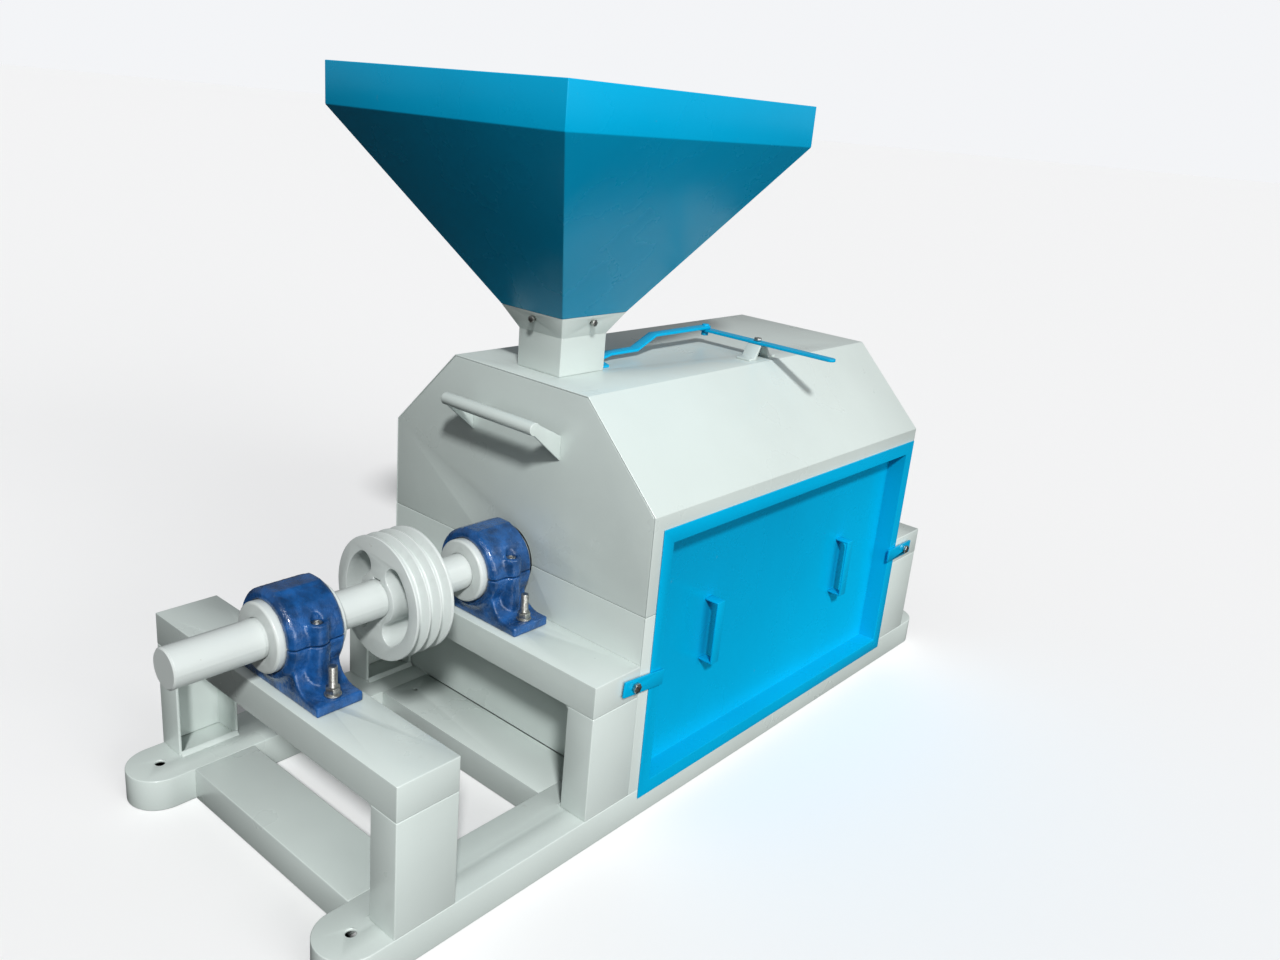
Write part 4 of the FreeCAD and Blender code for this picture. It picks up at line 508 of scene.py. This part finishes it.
class HULLER_OT_studs(bpy.types.Operator):
    """Models one foundation stud with a ridged thread, nuts and a washer, and copies it to every foot"""

    bl_idname = "huller.studs"
    bl_label = "Cut the foundation studs"

    def execute(self, context):
        pitch = context.scene.huller_work.pitch
        low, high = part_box("bearing_studs")
        feet = [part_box("bearing_base_" + name) for name in ("front", "middle", "rear")]
        offset = (high.x - low.x) / 2 - WASHER_RADIUS
        foot_top = feet[0][0].z + FOOT_HEIGHT
        master = None
        for number, (corner, far) in enumerate(feet, 1):
            centre = (corner.y + far.y) / 2
            for side, across in (("left", -offset), ("right", offset)):
                if master is None:
                    master = foot_stud(across, centre, low.z, high.z, foot_top, feet[0][0].z, pitch)
                    start = Vector((across, centre, 0.0))
                    piece = master
                else:
                    piece = bpy.data.objects.new("stud", master.data.copy())
                    context.scene.collection.objects.link(piece)
                    piece.data.transform(Matrix.Translation(Vector((across, centre, 0.0)) - start))
                piece.name = f"foundation_stud_{number}_{side}"
                settle(piece, "bearing_studs", frame["nodes"]["bearing_studs"].data.materials[0])
        return {"FINISHED"}


def flat_down(piece):
    """Puts a piece's place into its mesh and leaves its object at the origin."""
    solo(piece)
    bpy.ops.object.transform_apply(location=True, rotation=True, scale=True)
    return piece


def disc(sides, radius, low, height, spot, edge):
    """A round or hexagonal disc on a vertical axis with softened rims."""
    bpy.ops.object.select_all(action="DESELECT")
    bpy.ops.mesh.primitive_cylinder_add(vertices=sides, radius=radius, depth=height,
                                        location=(spot[0], spot[1], low + height / 2))
    piece = flat_down(bpy.context.object)
    apply(piece, "BEVEL", width=edge, segments=2, limit_method="ANGLE",
          angle_limit=math.radians(40.0), use_clamp_overlap=False)
    return piece


def foot_stud(across, centre, low, high, foot_top, bridge_top, pitch):
    """A stud with a ridged thread, its washer and upper nut, and the lower nut under the bridge's web."""
    spot = (across, centre)
    bpy.ops.object.select_all(action="DESELECT")
    bpy.ops.mesh.primitive_circle_add(vertices=STUD_SIDES, radius=STUD_RADIUS * STUD_TIP,
                                      fill_type="NGON", location=(across, centre, low))
    stud = flat_down(bpy.context.object)
    bpy.ops.object.mode_set(mode="EDIT")
    bpy.ops.mesh.select_all(action="SELECT")
    count = int((high - low) / (pitch / 2)) - 1
    step = (high - low) / (count + 1)
    bpy.ops.mesh.extrude_region_move(TRANSFORM_OT_translate={"value": (0, 0, step)})
    bpy.ops.transform.resize(value=(1 / STUD_TIP, 1 / STUD_TIP, 1.0))
    for number in range(count):
        bpy.ops.mesh.extrude_region_move(TRANSFORM_OT_translate={"value": (0, 0, step)})
        factor = THREAD_ROOT if number % 2 == 0 else 1 / THREAD_ROOT
        bpy.ops.transform.resize(value=(factor, factor, 1.0))
    bpy.ops.mesh.select_all(action="SELECT")
    bpy.ops.mesh.normals_make_consistent(inside=False)
    bpy.ops.object.mode_set(mode="OBJECT")
    parts = [
        stud,
        disc(WASHER_SIDES, WASHER_RADIUS, foot_top, WASHER_HEIGHT, spot, WASHER_EDGE),
        disc(NUT_SIDES, NUT_RADIUS, foot_top + WASHER_HEIGHT, NUT_HEIGHT, spot, NUT_EDGE),
        disc(NUT_SIDES, NUT_RADIUS, bridge_top - BRIDGE_WALL - LOWER_NUT_HEIGHT, LOWER_NUT_HEIGHT,
             spot, NUT_EDGE),
    ]
    bpy.ops.object.select_all(action="DESELECT")
    for part in parts:
        part.select_set(True)
    bpy.context.view_layer.objects.active = stud
    bpy.ops.object.join()
    return stud


class HULLER_OT_fasteners(bpy.types.Operator):
    """Chamfers the cap bolts, hopper bolts, latch screws and the lever's bolt"""

    bl_idname = "huller.fasteners"
    bl_label = "Chamfer the fasteners"

    def execute(self, context):
        for node in ("cap_bolts", "hopper_bolts", "latch_bolts", "lever_pivot_bolt"):
            round_edges(node, FASTENER_EDGE, segments=2)
        return {"FINISHED"}


class HULLER_OT_welds(bpy.types.Operator):
    """Lays painted fillets in the corners where the posts meet the rails and the bridges"""

    bl_idname = "huller.welds"
    bl_label = "Lay the welds"

    def execute(self, context):
        size = context.scene.huller_work.weld
        bead = grown_texture("weld_bead", BEAD_SIZE)
        for name in ("front", "middle", "rear"):
            for side, inward in (("left", 1), ("right", -1)):
                low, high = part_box(f"post_{name}_{side}")
                face = high.x if inward > 0 else low.x
                for end, level, rise in (("foot", low.z, 1), ("head", high.z, -1)):
                    fillet(f"weld_{name}_{side}_{end}", f"post_{name}_{side}",
                           (face, low.y + WELD_END, level), high.y - low.y - 2 * WELD_END,
                           inward, rise, size, bead)
        return {"FINISHED"}


def fillet(name, node, corner, length, across, rise, size, bead):
    """One hollow-faced weld along Y in a corner that opens towards across and rise."""
    bpy.ops.object.select_all(action="DESELECT")
    middle = size / 2 - WELD_SINK / 2
    bpy.ops.mesh.primitive_cube_add(size=1.0, location=(
        corner[0] + across * middle, corner[1] + length / 2, corner[2] + rise * middle))
    piece = bpy.context.object
    piece.name = name
    piece.scale = (size + WELD_SINK, length, size + WELD_SINK)
    flat_down(piece)
    bpy.ops.object.mode_set(mode="EDIT")
    bpy.ops.mesh.select_mode(type="EDGE")
    bpy.ops.mesh.select_all(action="DESELECT")
    shape = bmesh.from_edit_mesh(piece.data)
    out = Vector((corner[0] + across * size, 0.0, corner[2] + rise * size))
    for edge in shape.edges:
        spot = (edge.verts[0].co + edge.verts[1].co) / 2
        along = abs(edge.verts[0].co.y - edge.verts[1].co.y) > length / 2
        edge.select = along and abs(spot.x - out.x) < CORNER_REACH and abs(spot.z - out.z) < CORNER_REACH
    bmesh.update_edit_mesh(piece.data)
    bpy.ops.mesh.bevel(offset=size * WELD_HOLLOW, segments=6, profile=0.28)
    cuts = int(length / BEAD_STEP)
    for number in range(1, cuts):
        bpy.ops.mesh.select_all(action="SELECT")
        bpy.ops.mesh.bisect(plane_co=(0, corner[1] + length * number / cuts, 0), plane_no=(0, 1, 0))
    bpy.ops.mesh.select_all(action="SELECT")
    bpy.ops.mesh.normals_make_consistent(inside=False)
    bpy.ops.object.mode_set(mode="OBJECT")
    apply(piece, "DISPLACE", texture=bead, texture_coords="LOCAL", strength=BEAD_HEIGHT,
          mid_level=0.6)
    settle(piece, node, frame["nodes"][node].data.materials[0], smooth=60.0, replaced=False)


class HULLER_OT_studio(bpy.types.Operator):
    """Builds the floor, the lights and the camera"""

    bl_idname = "huller.studio"
    bl_label = "Set up the studio"

    def execute(self, context):
        studio = context.scene.huller_studio
        bpy.ops.object.select_all(action="DESELECT")
        bpy.ops.mesh.primitive_plane_add(size=FLOOR_SIZE, location=(0.0, 0.0, 0.0))
        floor = context.object
        floor.name = "studio_floor"
        floor.data.materials.append(studio_paper("studio_paper", FLOOR_SHOWN, FLOOR_BOUNCE))
        add_sun("main_light", MAIN_LIGHT, MAIN_SPREAD, studio.key_power)
        add_sun("side_light", SIDE_LIGHT, SIDE_SPREAD, studio.side_power)
        studio_air(context.scene, AIR_SHOWN, studio.air)
        context.scene.view_settings.view_transform = "Standard"
        context.scene.view_settings.look = "Medium High Contrast"
        add_camera(studio)
        return {"FINISHED"}


def studio_paper(name, shown, bounce):
    """Pale paper that throws little light back up at the machine."""
    n = Nodes(name)
    n.tree.nodes.remove(n.shader)
    path = n.tree.nodes.new("ShaderNodeLightPath").outputs["Is Camera Ray"]
    mixer = n.tree.nodes.new("ShaderNodeMixShader")
    n.link(path, mixer, 0)
    for socket, value in ((1, bounce), (2, shown)):
        paper = n.tree.nodes.new("ShaderNodeBsdfDiffuse")
        paper.inputs["Color"].default_value = (value, value, value, 1.0)
        n.link(paper.outputs["BSDF"], mixer, socket)
    output = [node for node in n.tree.nodes if node.type == "OUTPUT_MATERIAL"][0]
    n.link(mixer.outputs["Shader"], output, "Surface")
    return n.material


def studio_air(scene, shown, strength):
    """An even pale surround whose light on the machine is weaker than it looks."""
    world = bpy.data.worlds.new("studio_air")
    scene.world = world
    world.use_nodes = True
    tree = world.node_tree
    air = tree.nodes["Background"]
    air.inputs["Color"].default_value = (0.97, 0.98, 1.0, 1.0)
    path = tree.nodes.new("ShaderNodeLightPath").outputs["Is Camera Ray"]
    level = tree.nodes.new("ShaderNodeMapRange")
    level.inputs["To Min"].default_value = strength
    level.inputs["To Max"].default_value = shown
    tree.links.new(path, level.inputs["Value"])
    tree.links.new(level.outputs["Result"], air.inputs["Strength"])


def add_sun(name, towards, spread, strength):
    """A broad soft light that comes evenly from one direction."""
    light = bpy.data.lights.new(name, "SUN")
    light.angle = math.radians(spread)
    light.energy = strength
    lamp = bpy.data.objects.new(name, light)
    bpy.context.scene.collection.objects.link(lamp)
    lamp.rotation_euler = Vector(towards).to_track_quat("Z", "Y").to_euler()


def add_camera(studio):
    """Stands the camera at its place, turned by its azimuth, elevation and roll."""
    azimuth, elevation, roll = studio.azimuth, studio.elevation, studio.roll
    back = Vector((math.sin(azimuth) * math.cos(elevation), -math.cos(azimuth) * math.cos(elevation),
                   math.sin(elevation)))
    level = Vector((math.cos(azimuth), math.sin(azimuth), 0.0))
    rise = back.cross(level)
    right = math.cos(roll) * level + math.sin(roll) * rise
    up = back.cross(right)
    camera_data = bpy.data.cameras.new("studio_camera")
    camera_data.sensor_width = SENSOR_WIDTH
    camera_data.lens = studio.lens
    camera_data.shift_x, camera_data.shift_y = CAMERA_SHIFT
    camera_data.clip_end = CAMERA_REACH
    camera = bpy.data.objects.new("studio_camera", camera_data)
    bpy.context.scene.collection.objects.link(camera)
    turn = Matrix((right, up, back)).transposed().to_4x4()
    camera.matrix_world = Matrix.Translation(Vector(studio.place)) @ turn
    bpy.context.scene.camera = camera


class HULLER_PT_panel(bpy.types.Panel):
    """Lists the huller's operators and settings"""

    bl_idname = "HULLER_PT_panel"
    bl_label = "Rice Huller"
    bl_space_type = "VIEW_3D"
    bl_region_type = "UI"
    bl_category = "Huller"

    def draw(self, context):
        layout = self.layout
        for operator in OPERATORS:
            layout.operator(operator.bl_idname)
        for group in (context.scene.huller_paint, context.scene.huller_work, context.scene.huller_studio):
            box = layout.box()
            for name in group.__annotations__:
                box.prop(group, name)


OPERATORS = (HULLER_OT_paint, HULLER_OT_steelwork, HULLER_OT_sheetwork, HULLER_OT_castings,
             HULLER_OT_studs, HULLER_OT_fasteners, HULLER_OT_welds, HULLER_OT_studio)
CLASSES = (HullerPaint, HullerWork, HullerStudio, *OPERATORS, HULLER_PT_panel)


def register():
    for item in CLASSES:
        bpy.utils.register_class(item)
    bpy.types.Scene.huller_paint = PointerProperty(type=HullerPaint)
    bpy.types.Scene.huller_work = PointerProperty(type=HullerWork)
    bpy.types.Scene.huller_studio = PointerProperty(type=HullerStudio)


def unregister():
    del bpy.types.Scene.huller_studio
    del bpy.types.Scene.huller_work
    del bpy.types.Scene.huller_paint
    for item in reversed(CLASSES):
        bpy.utils.unregister_class(item)


def main():
    register()
    bpy.ops.huller.paint()
    bpy.ops.huller.steelwork()
    bpy.ops.huller.sheetwork()
    bpy.ops.huller.castings()
    bpy.ops.huller.studs()
    bpy.ops.huller.fasteners()
    bpy.ops.huller.welds()
    bpy.ops.huller.studio()


if __name__ == "__main__":
    main()
